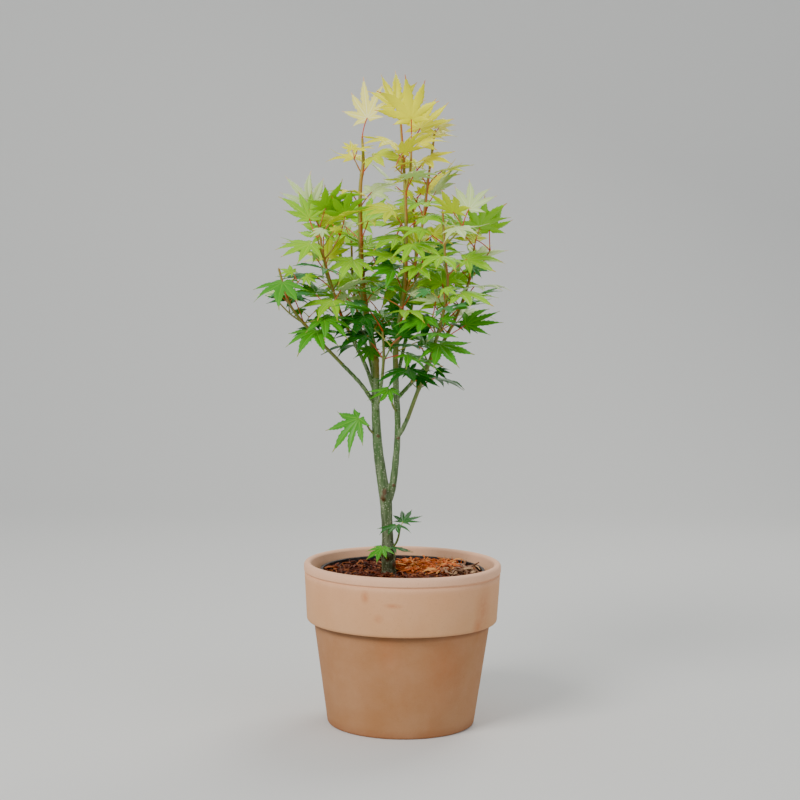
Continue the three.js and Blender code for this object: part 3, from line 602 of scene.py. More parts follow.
def tube(middle, radius, sides):
    """A closed tube: rings of `sides` points at each radius about a middle line, square to it, and a
    point at either end."""
    along = np.gradient(middle, axis=0)
    along /= np.linalg.norm(along, axis=1)[:, None]
    guide = np.where(np.abs(along[:, :1]) > 0.9, [[0.0, 1.0, 0.0]], [[1.0, 0.0, 0.0]])
    side = guide - along * (along * guide).sum(1)[:, None]
    side /= np.linalg.norm(side, axis=1)[:, None]
    rear = np.cross(along, side)
    angle = np.arange(sides) * 2 * np.pi / sides
    ring = side[:, None] * np.cos(angle)[None, :, None] + rear[:, None] * np.sin(angle)[None, :, None]
    points = (middle[:, None] + np.asarray(radius)[:, None, None] * ring).reshape(-1, 3)
    last = (len(middle) - 1) * sides
    turn = np.arange(sides)
    beside = (turn + 1) % sides
    caps = np.concatenate([
        np.stack([np.full(sides, len(points)), beside, turn, turn], 1),
        np.stack([np.full(sides, len(points) + 1), last + turn, last + beside, last + beside], 1),
    ])
    return np.concatenate([points, middle[[0, -1]]]), grid_faces(len(middle), sides, closed=True), caps[:, :3]


def limb_tubes():
    """Every limb and dead stub as a tube through its points; the trunk's foot swells into roots."""
    all_points, all_faces, count = [], [], 0
    for name, (points, radii) in (LIMBS | STUBS).items():
        share = np.linspace(0, 1, LIMB_RINGS)
        middle = catmull_rom(np.array(points) * MM, share)
        radius = np.interp(share, np.linspace(0, 1, len(radii)), radii) * MM
        tube_points, walls, caps = tube(middle, radius, LIMB_SIDES)
        if name == "trunk":
            away = tube_points[:, :2] - middle[0, :2]
            angle = np.arctan2(away[:, 1], away[:, 0])
            swell = np.clip((ROOT_SWELL_TOP - tube_points[:, 2]) / ROOT_SWELL_HEIGHT, 0, 1) ** 1.5
            roots = 0.10 + 0.16 * np.cos(4 * angle + 0.7 * np.sin(angle))
            tube_points[:, :2] += away * (swell * roots)[:, None]
        all_points.append(tube_points)
        all_faces += (walls + count).tolist() + (caps + count).tolist()
        count += len(tube_points)
    return np.concatenate(all_points), all_faces


def grown_together(name, points, faces, voxel):
    """Joins overlapping closed shapes into one skin of small even faces, and smooths its crotches."""
    mesh = bpy.data.meshes.new(name)
    mesh.from_pydata([tuple(p) for p in points], [], faces)
    skin = bpy.data.objects.new(name, mesh)
    bpy.context.scene.collection.objects.link(skin)
    remesh = skin.modifiers.new("join", "REMESH")
    remesh.mode = "VOXEL"
    remesh.voxel_size = voxel
    soften = skin.modifiers.new("soften", "SMOOTH")
    soften.factor = 0.5
    soften.iterations = 5
    bpy.context.view_layer.update()
    joined = bpy.data.meshes.new_from_object(skin.evaluated_get(bpy.context.evaluated_depsgraph_get()))
    skin.modifiers.clear()
    skin.data = joined
    return skin


def places_and_normals(piece):
    """Every point's place and normal, as two (n, 3) arrays."""
    both = np.empty((2, len(piece.data.vertices), 3), np.float32)
    piece.data.vertices.foreach_get("co", both[0].ravel())
    piece.data.vertex_normals.foreach_get("vector", both[1].ravel())
    return both


def raise_relief(skin):
    """Moves the skin along its normals: a knob at each scar, exp(-d2 / r2) high, with a ring furrow
    round it, and long shallow ripples up the limbs."""
    place, normal = places_and_normals(skin)
    place = place.astype(float)
    x, z = place[:, 0], place[:, 2]
    height = RIPPLE * (np.sin(z * 310 + 3 * np.sin(x * 240)) + np.sin(x * 900 + z * 120))
    for where, reach, rise in SCARS.values():
        gap = np.linalg.norm(place - np.array(where) * MM, axis=1) / (reach * MM)
        height += rise * MM * (np.exp(-(gap**2)) - 0.35 * np.exp(-(((gap - 1.3) / 0.35) ** 2)))
    fade = np.clip((place[:, 2] - SOIL_TOP) / 0.006, 0, 1)
    place += normal * (height * fade)[:, None]
    skin.data.vertices.foreach_set("co", place.astype(np.float32).ravel())
    skin.data.polygons.foreach_set("use_smooth", np.full(len(skin.data.polygons), True))
    skin.data.update()


def maple_bark():
    """Smooth grey-green bark: browner at the foot, greener above, with long pale streaks, pale pores
    wider than tall, and brown dead tissue round the scars."""
    material = plain_material("maple_bark", (96, 106, 70), 0.62)
    work = NodeWork(material)
    height = work.height()
    by_height = work.ramp(
        work.grey(height, 0.22, 0.56),
        (0.0, linear(64, 50, 32)),
        (0.08, linear(66, 72, 42)),
        (0.34, linear(74, 98, 52)),
        (0.62, linear(70, 106, 50)),
        (1.0, linear(86, 124, 46)),
    )
    streaks = work.grey(work.noise(210, 4, 0.6, (1, 1, 0.12)), 0.42, 0.68)
    colour = work.tinted(by_height, streaks, 0.6, (158, 170, 132))
    dark = work.grey(work.noise(90, 4, 0.6, (1, 1, 0.3)), 0.52, 0.72)
    colour = work.tinted(colour, dark, 0.7, (46, 56, 30))
    pores = work.pores(270.0, (1, 1, 1.7), (0.16, 0.24))
    colour = work.tinted(colour, pores, 0.85, (214, 216, 184))
    dead_wood = [(points[-2], DEAD_TIP_REACH, 0) for points, _ in STUBS.values()]
    for where, reach, _ in [*SCARS.values(), *dead_wood]:
        spot = work.near(tuple(MM * v for v in where), 1.7 * reach * MM)
        ragged = work.maths("ADD", spot, work.maths("MULTIPLY", work.noise(420, 3), 0.5))
        colour = work.tinted(colour, work.grey(ragged, 0.66, 0.92), 0.85, (96, 58, 34))
    furrows = work.noise(420, 5, 0.65, (1, 1, 0.22))
    relief = work.maths("ADD", work.maths("MULTIPLY", furrows, 0.7), work.maths("MULTIPLY", pores, 0.35))
    work.finish(colour, work.grey(work.noise(150), 0.3, 0.7, 0.5, 0.72), relief, 0.0007, 0.8)
    return material


limb_points, limb_faces = limb_tubes()
bark = grown_together("bark_skin", limb_points, limb_faces, SKIN_VOXEL)
raise_relief(bark)
bark.data.materials.clear()
bark.data.materials.append(maple_bark())
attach(bark, "root")
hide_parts(*LIMBS)

# Shoots and leaves: opposite pairs a quarter turn apart along every shoot, then side twigs with a
# pair each. The rule is the source's, drawn from the same seeds; a leaf grows where its solid did.
LEAF_SIZE = (62, 47)
TIP_LEAF_SIZE = 1.42
STALK_LENGTH = (46, 32)
STALK_RISE = (26, 60)
BLADE_DROOP = 0.16
BLADE_HANG = (16, -34)
TIP_HANG = (0, -74)
LIGHT_LEAN = (0, 0.7)
LEAF_TRIES = 14
LEAF_SWING = (30, 9)
LEAF_LIFT = (26, 3)
LEAF_TWIST = 36
TWIG_LENGTH = (24, 58)
TWIG_SWING = 60
TWIG_RISE = (30, 60)
TWIG_CHANCE = (0.8, 0.5)
TWIG_LEAF_SCALE = 0.86
TIP_SPREAD = 0.85
CROWN_FOOT = 440
CROWN_TOP = 1008
NODE_SPACING = (37, 56)
LEAFLESS_FOOT = 10
TO_LIGHT = np.array([-0.15, -1, 0.1])
MATCH_WITHIN = 0.1
SHARES = np.linspace(0, 1, 201)
MASSES = {
    "left_crown": {"seed": 348, "turn": 45, "shoots": [
        ([(-44, 7, 526), (-47, 9, 563), (-65, 14, 657), (-71, 18, 797), (-67, 20, 850), (-69, 20, 888)],
         [5.8, 5.4, 4.5, 3, 2.5, 1.8])]},
    "right_crown": {"seed": 341, "turn": 105, "bare": {1: 32}, "shoots": [
        ([(-14, -8, 536), (-14, -9, 572), (-5, -11, 644), (-1, -13, 716), (-3, -14, 804), (-11, -14, 907)],
         [4.3, 3.9, 3.5, 3, 2.5, 1.8]),
        ([(-5, -11, 646), (11, -4, 694), (24, 2, 762), (32, 6, 832), (41, 8, 900)],
         [2.6, 2.5, 2.2, 1.9, 1.6]),
        ([(-3, -14, 806), (4, -22, 838), (5, -26, 880)], [2, 1.8, 1.6])]},
    "right_shoot": {"seed": 336, "turn": 40, "shoots": [
        ([(5, -18, 467), (20, -26, 510), (37, -34, 556), (60, -44, 651), (56, -50, 717), (52, -52, 778)],
         [3.2, 3, 2.8, 2.4, 2.1, 1.6])]},
    "left_shoot": {"seed": 340, "turn": 135, "shoots": [
        ([(-84, -6, 593), (-101, -10, 631), (-124, -16, 707), (-130, -18, 752)], [2.7, 2.5, 2.1, 1.6])]},
    "left_low_shoot": {"seed": 300, "turn": 0, "shoots": [
        ([(-95, -24, 548), (-137, -34, 592), (-172, -42, 636), (-189, -46, 690)], [2.7, 2.5, 2.1, 1.6])]},
    "right_back_shoot": {"seed": 300, "turn": -40, "shoots": [
        ([(48, 28, 562), (78, 38, 620), (98, 44, 680), (104, 46, 726)], [2.6, 2.4, 2, 1.6])]},
    "front_shoot": {"seed": 304, "turn": 45, "shoots": [
        ([(-34, -36, 528), (-32, -48, 562), (-34, -54, 600)], [2.4, 2.1, 1.6])]},
    "back_left_shoot": {"seed": 302, "turn": 55, "shoots": [
        ([(-70, 72, 600), (-82, 92, 662), (-86, 98, 735)], [2.5, 2.2, 1.6])]},
    "back_shoot": {"seed": 302, "turn": -5, "shoots": [
        ([(6, 64, 612), (14, 84, 670), (14, 93, 745), (8, 96, 795)], [2.5, 2.3, 2, 1.6])]},
    "low_left_spur": {"seed": 302, "turn": 155, "hang": 48, "lean": 1.1, "stalk": 0.35, "pairs": 1,
                      "shoots": [
        ([(-42, 4, 438), (-51, -3, 446), (-57, -6, 456)], [1.9, 1.7, 1.5])]},
    "low_right_spur": {"seed": 302, "turn": 235, "scale": 0.7, "pairs": 1, "shoots": [
        ([(-11, -7, 474), (-18, -22, 487), (-20, -28, 502)], [1.9, 1.7, 1.5])]},
    "right_base_sprout": {"seed": 300, "turn": 250, "scale": 0.6, "stalk": 0.6, "pairs": 1, "shoots": [
        ([(-22, 0, 260), (-9, -6, 278), (-4, -8, 302)], [1.9, 1.7, 1.5])]},
    "front_base_sprout": {"seed": 301, "turn": 245, "scale": 0.55, "stalk": 0.5, "pairs": 1, "shoots": [
        ([(-22, 0, 248), (-25, -15, 256), (-27, -19, 268)], [1.8, 1.6, 1.4])]},
}


def dice(seed):
    """The same row of numbers between 0 and 1 for the same seed: state = state * 48271 mod (2^31 - 1)."""
    state = seed * 7919 + 17
    while True:
        state = state * 48271 % 2147483647
        yield state / 2147483647


def between(limits, share):
    """A value from the first limit to the second."""
    return limits[0] + (limits[1] - limits[0]) * share


def age_at(height):
    """0 at the crown's foot, 1 near its top."""
    return min(max((height - CROWN_FOOT) / (CROWN_TOP - 70 - CROWN_FOOT), 0), 1)


def place_leaf(node, turn, lift, twist, lean):
    """A leaf's heart, blade direction, face and size, in millimetres, by the source's rule."""
    age = node["age"]
    out = np.array([math.cos(math.radians(turn)), math.sin(math.radians(turn)), 0])
    rise = math.radians(between(STALK_RISE, age) + lift)
    reach = between(STALK_LENGTH, age) * node["scale"] * node["habit"].get("stalk", 1)
    heart = node["point"] + reach * (out * math.cos(rise) + [0, 0, math.sin(rise)])
    hang_range = TIP_HANG if node["last"] else BLADE_HANG
    hang = math.radians(between(hang_range, age) - lift / 2 + node["habit"].get("hang", 0))
    face = np.array([0, 0, math.cos(hang)]) + out * math.sin(hang)
    face = face + TO_LIGHT * (lean + node["habit"].get("lean", 0))
    face /= np.linalg.norm(face)
    along = out * math.cos(hang) - [0, 0, math.sin(hang)]
    along = along - face * (along @ face)
    along /= np.linalg.norm(along)
    angle = math.radians(twist)
    along = along * math.cos(angle) + np.cross(face, along) * math.sin(angle)
    young = between((1, TIP_LEAF_SIZE), age) if node["last"] else 1
    return {
        "root": node["point"], "heart": heart, "along": along, "face": face, "age": age,
        "size": between(LEAF_SIZE, age) * node["scale"] * young,
        "spread": TIP_SPREAD if node["last"] else 1,
    }


def twig_end(start, heading, rise, length):
    """The end of a twig that leaves its start by a heading and a rise, in radians."""
    flat = length * math.cos(rise)
    return start + [flat * math.cos(heading), flat * math.sin(heading), length * math.sin(rise)]


def shoot_line(points):
    """A shoot's line at 201 shares, and how far along it each place is."""
    line = catmull_rom(points, SHARES)
    return line, np.concatenate([[0], np.cumsum(np.linalg.norm(np.diff(line, axis=0), axis=1))])


def nodes_of(shoot, bare, mass):
    """Points of leaf pairs down a shoot from its tip, spaced by age, each a quarter turn from the last."""
    run = shoot_line(shoot[0])[1]
    nodes, down = [], bare or 1
    while down < run[-1] - LEAFLESS_FOOT and len(nodes) < mass.get("pairs", 99):
        point = catmull_rom(shoot[0], [np.interp(run[-1] - down, run, SHARES)])[0]
        nodes.append({
            "point": point, "age": age_at(point[2]), "turn": mass["turn"] + len(nodes) * 90,
            "last": not nodes and not bare, "scale": mass.get("scale", 1), "habit": mass,
        })
        down += between(NODE_SPACING, nodes[-1]["age"]) * nodes[-1]["scale"]
    return nodes


def grow_pair(node, roll, corners, leaves):
    """Repeats the tries for both leaves of a pair, and keeps the try whose tip is a corner of the solids."""
    kept = []
    for side in (0, 180):
        for attempt in range(LEAF_TRIES):
            swing = (next(roll) - 0.5) * (LEAF_SWING[0] + attempt * LEAF_SWING[1])
            lift = (next(roll) - 0.5) * (LEAF_LIFT[0] + attempt * LEAF_LIFT[1])
            twist = (next(roll) - 0.5) * LEAF_TWIST
            lean = between(LIGHT_LEAN, next(roll))
            leaf = place_leaf(node, node["turn"] + side + swing, lift, twist, lean)
            tip = leaf["heart"] + leaf["size"] * (leaf["along"] - BLADE_DROOP * leaf["face"])
            if corners.find(Vector(tip * MM))[2] < MATCH_WITHIN * MM:
                kept.append(leaf)
                break
    leaves += kept
    return kept


def grow(mass_name, mass):
    """All the leaves and side twigs of one mass."""
    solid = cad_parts[mass_name].data
    corners = kdtree.KDTree(len(solid.vertices))
    for number, vertex in enumerate(solid.vertices):
        corners.insert(vertex.co, number)
    corners.balance()
    roll = dice(mass["seed"])
    leaves, twigs = [], []
    nodes = []
    for number, shoot in enumerate(mass["shoots"]):
        nodes += nodes_of(shoot, mass.get("bare", {}).get(number), mass)
    for node in nodes:
        grow_pair(node, roll, corners, leaves)
    for node in [n for n in nodes if not n["last"]]:
        for side in (0, 180):
            if next(roll) < between(TWIG_CHANCE, node["age"]):
                heading = math.radians(node["turn"] + side + (next(roll) - 0.5) * TWIG_SWING)
                rise = math.radians(between(TWIG_RISE, next(roll)))
                length = between(TWIG_LENGTH, next(roll)) * node["scale"]
                point = twig_end(node["point"], heading, rise, length)
                scale = node["scale"] * TWIG_LEAF_SCALE
                end = dict(node, point=point, last=True, age=age_at(point[2]), scale=scale)
                end["turn"] += side + 90
                if grow_pair(end, roll, corners, leaves):
                    twigs.append({"start": node["point"], "end": point})
    for item in nodes + leaves + twigs:
        item["mass"] = mass_name
    return nodes, leaves, twigs


grown = [grow(mass_name, mass) for mass_name, mass in MASSES.items()]
pair_nodes, leaves, twigs = ([item for kinds in grown for item in kinds[k]] for k in range(3))

# Finer growth: short side twigs with a pair of small young leaves, tried at each pair of leaves and
# half way along each twig, and kept where the crown has room for them.
FINE_SEED = 77
FINE_TRIES = 16
FINE_LENGTH = (12, 30)
FINE_SWING = 70
FINE_RISE = (15, 65)
FINE_LEAF_SIZE = (20, 31)
FINE_LEAF_SWING = 30
FINE_LIFT = (-15, 15)
FINE_TWIST = (-25, 25)
FINE_LEAN = (0.3, 1.2)
FINE_CLEARANCE = 7
FINE_CHANCE = 0.8
FINE_STALK = 0.45
LOBE_TURNS = np.radians([-118, -75, -36, 0, 36, 75, 118])
LOBE_LENGTHS = np.array([0.44, 0.78, 0.95, 1, 0.95, 0.78, 0.44])


def leaf_marks(leaf):
    """The heart, and places a third, two thirds and all the way along each lobe, to test for room."""
    right = np.cross(leaf["along"], leaf["face"])
    turns = LOBE_TURNS * leaf["spread"]
    lobes = np.sin(turns)[:, None] * right + np.cos(turns)[:, None] * leaf["along"]
    lobes = (lobes - BLADE_DROOP * leaf["face"]) * LOBE_LENGTHS[:, None] * leaf["size"]
    return np.concatenate([[leaf["heart"]]] + [leaf["heart"] + share * lobes for share in (0.33, 0.66, 1.0)])


marks = np.concatenate([leaf_marks(leaf) for leaf in leaves])
fine_twigs, fine_leaves = [], []
draw = np.random.default_rng(FINE_SEED)
leafy = [node for node in pair_nodes if not node["last"] and "pairs" not in node["habit"]]
starts = [(node["point"], node["turn"], node["mass"]) for node in leafy]
starts += [((twig["start"] + twig["end"]) / 2, draw.uniform(0, 360), twig["mass"]) for twig in twigs]
for start, turn, mass_name in starts:
    for side in (0, 180):
        if draw.random() > FINE_CHANCE:
            continue
        for attempt in range(FINE_TRIES):
            heading = math.radians(turn + side + draw.uniform(-FINE_SWING, FINE_SWING))
            rise = math.radians(draw.uniform(*FINE_RISE))
            point = twig_end(start, heading, rise, draw.uniform(*FINE_LENGTH))
            end = {"point": point, "last": False, "scale": 1, "habit": {"stalk": FINE_STALK}}
            end["age"] = age_at(point[2])
            pair = []
            for aside in (90, 270):
                leaf_turn = math.degrees(heading) + aside + draw.uniform(-FINE_LEAF_SWING, FINE_LEAF_SWING)
                lift, twist, lean = (draw.uniform(*limits) for limits in (FINE_LIFT, FINE_TWIST, FINE_LEAN))
                leaf = place_leaf(end, leaf_turn, lift, twist, lean)
                pair.append(dict(leaf, size=draw.uniform(*FINE_LEAF_SIZE), mass=mass_name))
            pair_marks = np.concatenate([leaf_marks(leaf) for leaf in pair])
            gaps = np.linalg.norm(pair_marks[:, None] - marks[None], axis=2)
            if gaps.min() > FINE_CLEARANCE:
                fine_twigs.append({"start": start, "end": point})
                fine_leaves += pair
                marks = np.concatenate([marks, pair_marks])
                break

# Shoots and twigs: the leafy growth of the last years, round, green to yellow-green and flushed
# orange-red on the sunny side, ringed and swollen at each node, thinning to a bud.
SUNNY_SIDE = np.array([0.70, -0.45, 0.45])
FLUSH = 0.9
FLUSH_FOOT = 0.48
FLUSH_RISE = 0.25
NODE_SWELLING = 0.30
NODE_REACH = 2.4
ROOT_DEPTH = 3.0
BUD_LENGTH = 4


def growing_bark():
    """Young bark: green low down to yellow-green at the top, mixed to orange-red by the point value
    that says how far the place faces the sun, with pale flecks and fine lengthwise lines."""
    material = plain_material("young_bark", (120, 140, 60), 0.5)
    work = NodeWork(material)
    by_height = work.ramp(
        work.grey(work.height(), 0.45, 0.95),
        (0.0, linear(104, 128, 62)),
        (0.4, linear(110, 136, 50)),
        (0.75, linear(150, 156, 56)),
        (1.0, linear(180, 170, 66)),
    )
    sunny = work.add("ShaderNodeAttribute", {"attribute_name": "sunny"}).outputs["Fac"]
    patches = work.grey(work.noise(60, 3, 0.5, (1, 1, 0.3)), 0.25, 0.6)
    flushed = work.mix(work.maths("MULTIPLY", sunny, patches), by_height, linear(196, 88, 38))
    flecked = work.tinted(flushed, work.pores(420.0, (1, 1, 0.6), (0.12, 0.2)), 0.5, (206, 196, 140))
    work.finish(flecked, None, work.noise(700, 4, 0.6, (1, 1, 0.15)), 0.0003, 0.6)
    return material


def joined(parts):
    """Many (points, quads, triangles) shapes as one list of points and one list of triangles."""
    points, triangles, count = [], [], 0
    for part_points, quads, caps in parts:
        points.append(part_points)
        triangles += [quads[:, [0, 1, 2]] + count, quads[:, [0, 2, 3]] + count, caps + count]
        count += len(part_points)
    return np.concatenate(points), np.concatenate(triangles)


def shoot_tube(line_points, radii, node_places, sides, step):
    """A shoot as a tube whose radius swells as exp(-(run / reach)^2) about each node, over a thin
    ring furrow, and which ends in a pointed bud."""
    line, run = shoot_line(line_points)
    stations = np.linspace(0, run[-1], max(int(run[-1] / step), 8))
    at = np.interp(stations, run, SHARES)
    middle = catmull_rom(line_points, at)
    radius = np.interp(at, np.linspace(0, 1, len(radii)), radii)
    swell = np.zeros_like(stations)
    for place in node_places:
        gap = (stations - run[np.argmin(np.linalg.norm(line - place, axis=1))]) / NODE_REACH
        swell += np.exp(-(gap**2)) - 0.5 * np.exp(-((gap / 0.3) ** 2))
    radius = radius * (1 + NODE_SWELLING * np.clip(swell, -0.5, 1))
    radius *= np.clip((run[-1] + 0.5 - stations) / BUD_LENGTH, 0.12, 1) ** 0.6
    inward = line[0] - line[4]
    middle = np.concatenate([[middle[0] + inward / np.linalg.norm(inward) * ROOT_DEPTH], middle])
    radius = np.concatenate([[radius[0] * 0.8], radius])
    return tube(middle * MM, radius * MM, sides)


def sunny_values(piece):
    """How far each point faces the sunny side, less so low down, kept on the piece for its material."""
    place, normal = places_and_normals(piece)
    facing = normal @ (SUNNY_SIDE / np.linalg.norm(SUNNY_SIDE))
    high = np.clip((place[:, 2] - FLUSH_FOOT) / FLUSH_RISE, 0.15, 1)
    sunny = np.clip(facing * 1.4 + 0.1, 0, 1) * high * FLUSH
    value = piece.data.attributes.new("sunny", "FLOAT", "POINT")
    value.data.foreach_set("value", sunny.astype(np.float32))


shoot_parts = []
for mass_name, mass in MASSES.items():
    places = [node["point"] for node in pair_nodes if node["mass"] == mass_name]
    shoot_parts += [shoot_tube(*shoot, places, 12, 1.6) for shoot in mass["shoots"]]
for group, sag, radii, sides, step in (
    (twigs, 0.06, [1.5, 1.25, 1.1], 10, 1.4), (fine_twigs, 0.08, [1.1, 0.8, 0.7], 8, 1.2),
):
    for twig in group:
        start, end = twig["start"], twig["end"]
        bow = (start + end) / 2 + [0, 0, -sag * np.linalg.norm(end - start)]
        shoot_parts.append(shoot_tube([start, bow, end], radii, [end], sides, step))
shoots = mesh_piece("shoots", *joined(shoot_parts), [growing_bark()])
sunny_values(shoots)
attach(shoots, "root")
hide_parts(*MASSES)

# Leaf stalks: thin, smooth and bowed, swollen where they clasp the shoot; orange-red and salmon at the
# top, and more of them greener low down. Each tone is a colour and a roughness.
STALK_TONES = {
    "red_stalk": ((206, 74, 36), 0.45),
    "salmon_stalk": ((214, 120, 66), 0.45),
    "lime_stalk": ((170, 168, 62), 0.45),
}
STALK_RADIUS = 0.85
FINE_STALK_RADIUS = 0.6
STALK_RINGS = 13
STALK_SIDES = 7
STALK_BOW = 0.045
RED_CHANCE = 0.45
SALMON_CHANCE = 0.8
LARGE_LEAF = 34


def stalk_tube(leaf, draw):
    """A quadratic Bezier curve from node to heart, bowed to one side and sagging, seven sides round."""
    start, end = leaf["root"], leaf["heart"] - 0.25 * leaf["face"]
    length = np.linalg.norm(end - start)
    middle = (start + end) / 2 + draw.normal(0, STALK_BOW, 3) * length + [0, 0, 0.05 * length]
    t = np.linspace(0, 1, STALK_RINGS)[:, None]
    line = start * (1 - t) ** 2 + 2 * middle * t * (1 - t) + end * t**2
    thick = STALK_RADIUS if leaf["size"] > LARGE_LEAF else FINE_STALK_RADIUS
    radius = thick * (1 + 0.75 * np.exp(-((t[:, 0] * length / 3) ** 2)) + 0.15 * (t[:, 0] - 0.5) ** 2)
    return tube(line * MM, radius * MM, STALK_SIDES)


stalk_draw = np.random.default_rng(5)
stalk_parts = {name: [] for name in STALK_TONES}
for leaf in leaves + fine_leaves:
    chance = stalk_draw.random() - 0.75 * (leaf["age"] - 0.35)
    warm = "red_stalk" if chance < RED_CHANCE else "salmon_stalk"
    name = warm if chance < SALMON_CHANCE else "lime_stalk"
    stalk_parts[name].append(stalk_tube(leaf, stalk_draw))
for name, parts in stalk_parts.items():
    stalks = mesh_piece(name, *joined(parts), [plain_material(name, *STALK_TONES[name])])
    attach(stalks, "root")
    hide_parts(*MASSES)

# Leaves: thin palmate blades of seven long-pointed lobes, cut about two thirds of the way in, toothed
# and folded up from each midrib. They are cream and gold at the top of the crown, lime in the middle,
# green and blue-green below. Sizes are shares of a leaf's or a lobe's length, and the blade's
# thickness is in millimetres.
SINUS = 0.355
TIP_BAY_DEPTH = 0.86
TIP_LOBE_WIDTH = 0.80
BASE_TURN = math.radians(150)
BASE_REACH = 0.14
LOBE_HALF_WIDTH = 0.120
LOBE_WANDER = 0.045
BEND_FROM = 0.42
BEND_REACH = 0.58
RIB_AT_BAY = 0.27
BASAL_ROWS = 3
TEETH = 6
TOOTH = 0.034
TOOTH_SLANT = 0.70
TOOTH_FADE = 0.92
NOTCH = 0.004
ROWS = BASAL_ROWS + 2 * TEETH
TIP_ROWS = 2
VEIN_HALF_WIDTH = 0.0085
BLADE_THICKNESS = 0.30
WARP = 0.018
MARGIN_SHARE = (0, 0.14, 0.32, 0.5, 0.68, 0.84, 1)
SINUS_PART = (1, 0.55, 0.12, 0, 0, 0, 0)
SHOULDER_PART = (0, 0.46, 0.90, 0.82, 0.44, 0.13, 0)
TONES = {
    "cream": ((248, 240, 128), (236, 150, 110), (252, 248, 190)),
    "gold": ((238, 234, 26), (232, 140, 70), (246, 242, 96)),
    "gold_lime": ((204, 222, 12), (224, 140, 66), (222, 232, 62)),
    "lime": ((146, 206, 12), (212, 146, 66), (182, 220, 46)),
    "mid_green": ((72, 156, 16), (170, 140, 72), (110, 180, 42)),
    "deep_green": ((28, 98, 18), (104, 108, 50), (50, 122, 32)),
    # The pale tone here is a painted sheen, given to leaves that face up to the light; its tip and vein
    # colours are part of it.
    "pale_green": ((202, 226, 152), (234, 180, 140), (222, 236, 186)),
    "blue_green": ((72, 144, 76), (164, 142, 98), (102, 168, 100)),
}
TONE_FLOORS = ((0.93, "cream"), (0.74, "gold"), (0.58, "gold_lime"), (0.40, "lime"))


def leaf_sheet(columns):
    """One face of the shape shared by all leaves: each point's lobe, side, row and column, the
    triangles, their colours (0 blade, 1 tip, 2 vein), and the pairs of points along the margin."""
    numbers, faces, tints, margins = {}, [], [], []

    def point(lobe, side, row, column):
        """A corner's number; neighbours share the heart, the tips, the midribs and the bays."""
        bay = lobe + (side > 0)
        if row == 0:
            key = ("heart",)
        elif row == ROWS:
            key = ("tip", lobe)
        elif column == 0:
            key = ("midrib", lobe, row)
        elif column == 3 and row <= BASAL_ROWS and 0 < bay < 7:
            key = ("bay", bay, row)
        else:
            key = (lobe, side, row, column)
        return numbers.setdefault(key, (len(numbers), lobe, side, row, column))[0]

    for lobe, side, row in itertools.product(range(7), (-1, 1), range(ROWS)):
        for near, far in zip(columns, columns[1:]):
            square = ((row, near), (row, far), (row + 1, far), (row + 1, near))
            a, b, c, d = (point(lobe, side, *place) for place in square)
            for face in ([a, b, c][::side], [a, c, d][::side]):
                if len(set(face)) == 3:
                    faces.append(face)
                    tints.append(2 if far == 1 else int(row >= ROWS - TIP_ROWS))
        if row >= BASAL_ROWS or not 0 < lobe + (side > 0) < 7:
            margins.append((point(lobe, side, row, 3), point(lobe, side, row + 1, 3))[::side])
    return np.array(list(numbers.values()))[:, 1:], np.array(faces), np.array(tints), margins


def blade_places(table, shape):
    """Each point's place in its leaf, in leaf sizes: midrib and margin points of its row, mixed by its
    share, turned to its lobe; then a cone's droop, a fold, bent and twisted lobes, and a slow warp."""
    lobe, side, row, column = table.T
    basal = np.clip(row / BASAL_ROWS, 0, 1)
    step = np.clip(row - BASAL_ROWS, 0, None)
    on_tooth = step % 2 == 1
    along_margin = np.where(on_tooth, step // 2 + TOOTH_SLANT, step / 2) / TEETH
    length = shape["lengths"][:, lobe]
    turn = shape["turns"][:, lobe]
    border = lobe + (side > 0)
    half_gap = np.abs(shape["borders"][:, border] - turn)
    reach = shape["bays"][:, border]
    bay_along, bay_side = reach * np.cos(half_gap), reach * np.sin(half_gap)
    shoulder = np.maximum(LOBE_HALF_WIDTH * shape["width"] * length, 0.8 * bay_side * (border % 7 > 0))
    width = bay_side * np.interp(along_margin, MARGIN_SHARE, SINUS_PART)
    width = width + shoulder * np.interp(along_margin, MARGIN_SHARE, SHOULDER_PART)
    toothed = np.where(on_tooth, TOOTH, -NOTCH) * (step > 0) * (row < ROWS)
    width = width + toothed * (1 - TOOTH_FADE * along_margin) * length
    edge_along = bay_along * basal + (length - bay_along) * along_margin
    edge_side = np.where(step > 0, np.maximum(width, 0), bay_side * basal)
    rib = length * (RIB_AT_BAY * basal + (1 - RIB_AT_BAY) * along_margin)
    strip = VEIN_HALF_WIDTH * (1.25 - along_margin)
    strip_share = np.minimum(strip / np.maximum(edge_side, 1e-6), 0.45)
    share = np.select([column == 0, column == 1, column == 2], [0 * rib, strip_share, 0.55 + 0 * rib], 1.0)
    a = rib * (1 - share) + edge_along * share
    b = edge_side * share * side
    bent = np.clip((a / length - BEND_FROM) / BEND_REACH, 0, 1)
    b = b + shape["sways"][:, lobe] * bent**2 * length
    x = a * np.sin(turn) + b * np.cos(turn)
    y = a * np.cos(turn) - b * np.sin(turn)
    far = np.hypot(x, y)
    z = -shape["droop"] * far - shape["bends"][:, lobe] * bent**2 * length
    z = z + shape["twists"][:, lobe] * b * bent
    z = z + shape["fold"] * np.abs(edge_side * share) * (1 - 0.35 * share)
    z = z + WARP * np.sin(4 * x + shape["phase"]) * np.cos(5 * y + 2 * shape["phase"])
    return np.stack([x, y, z], -1)


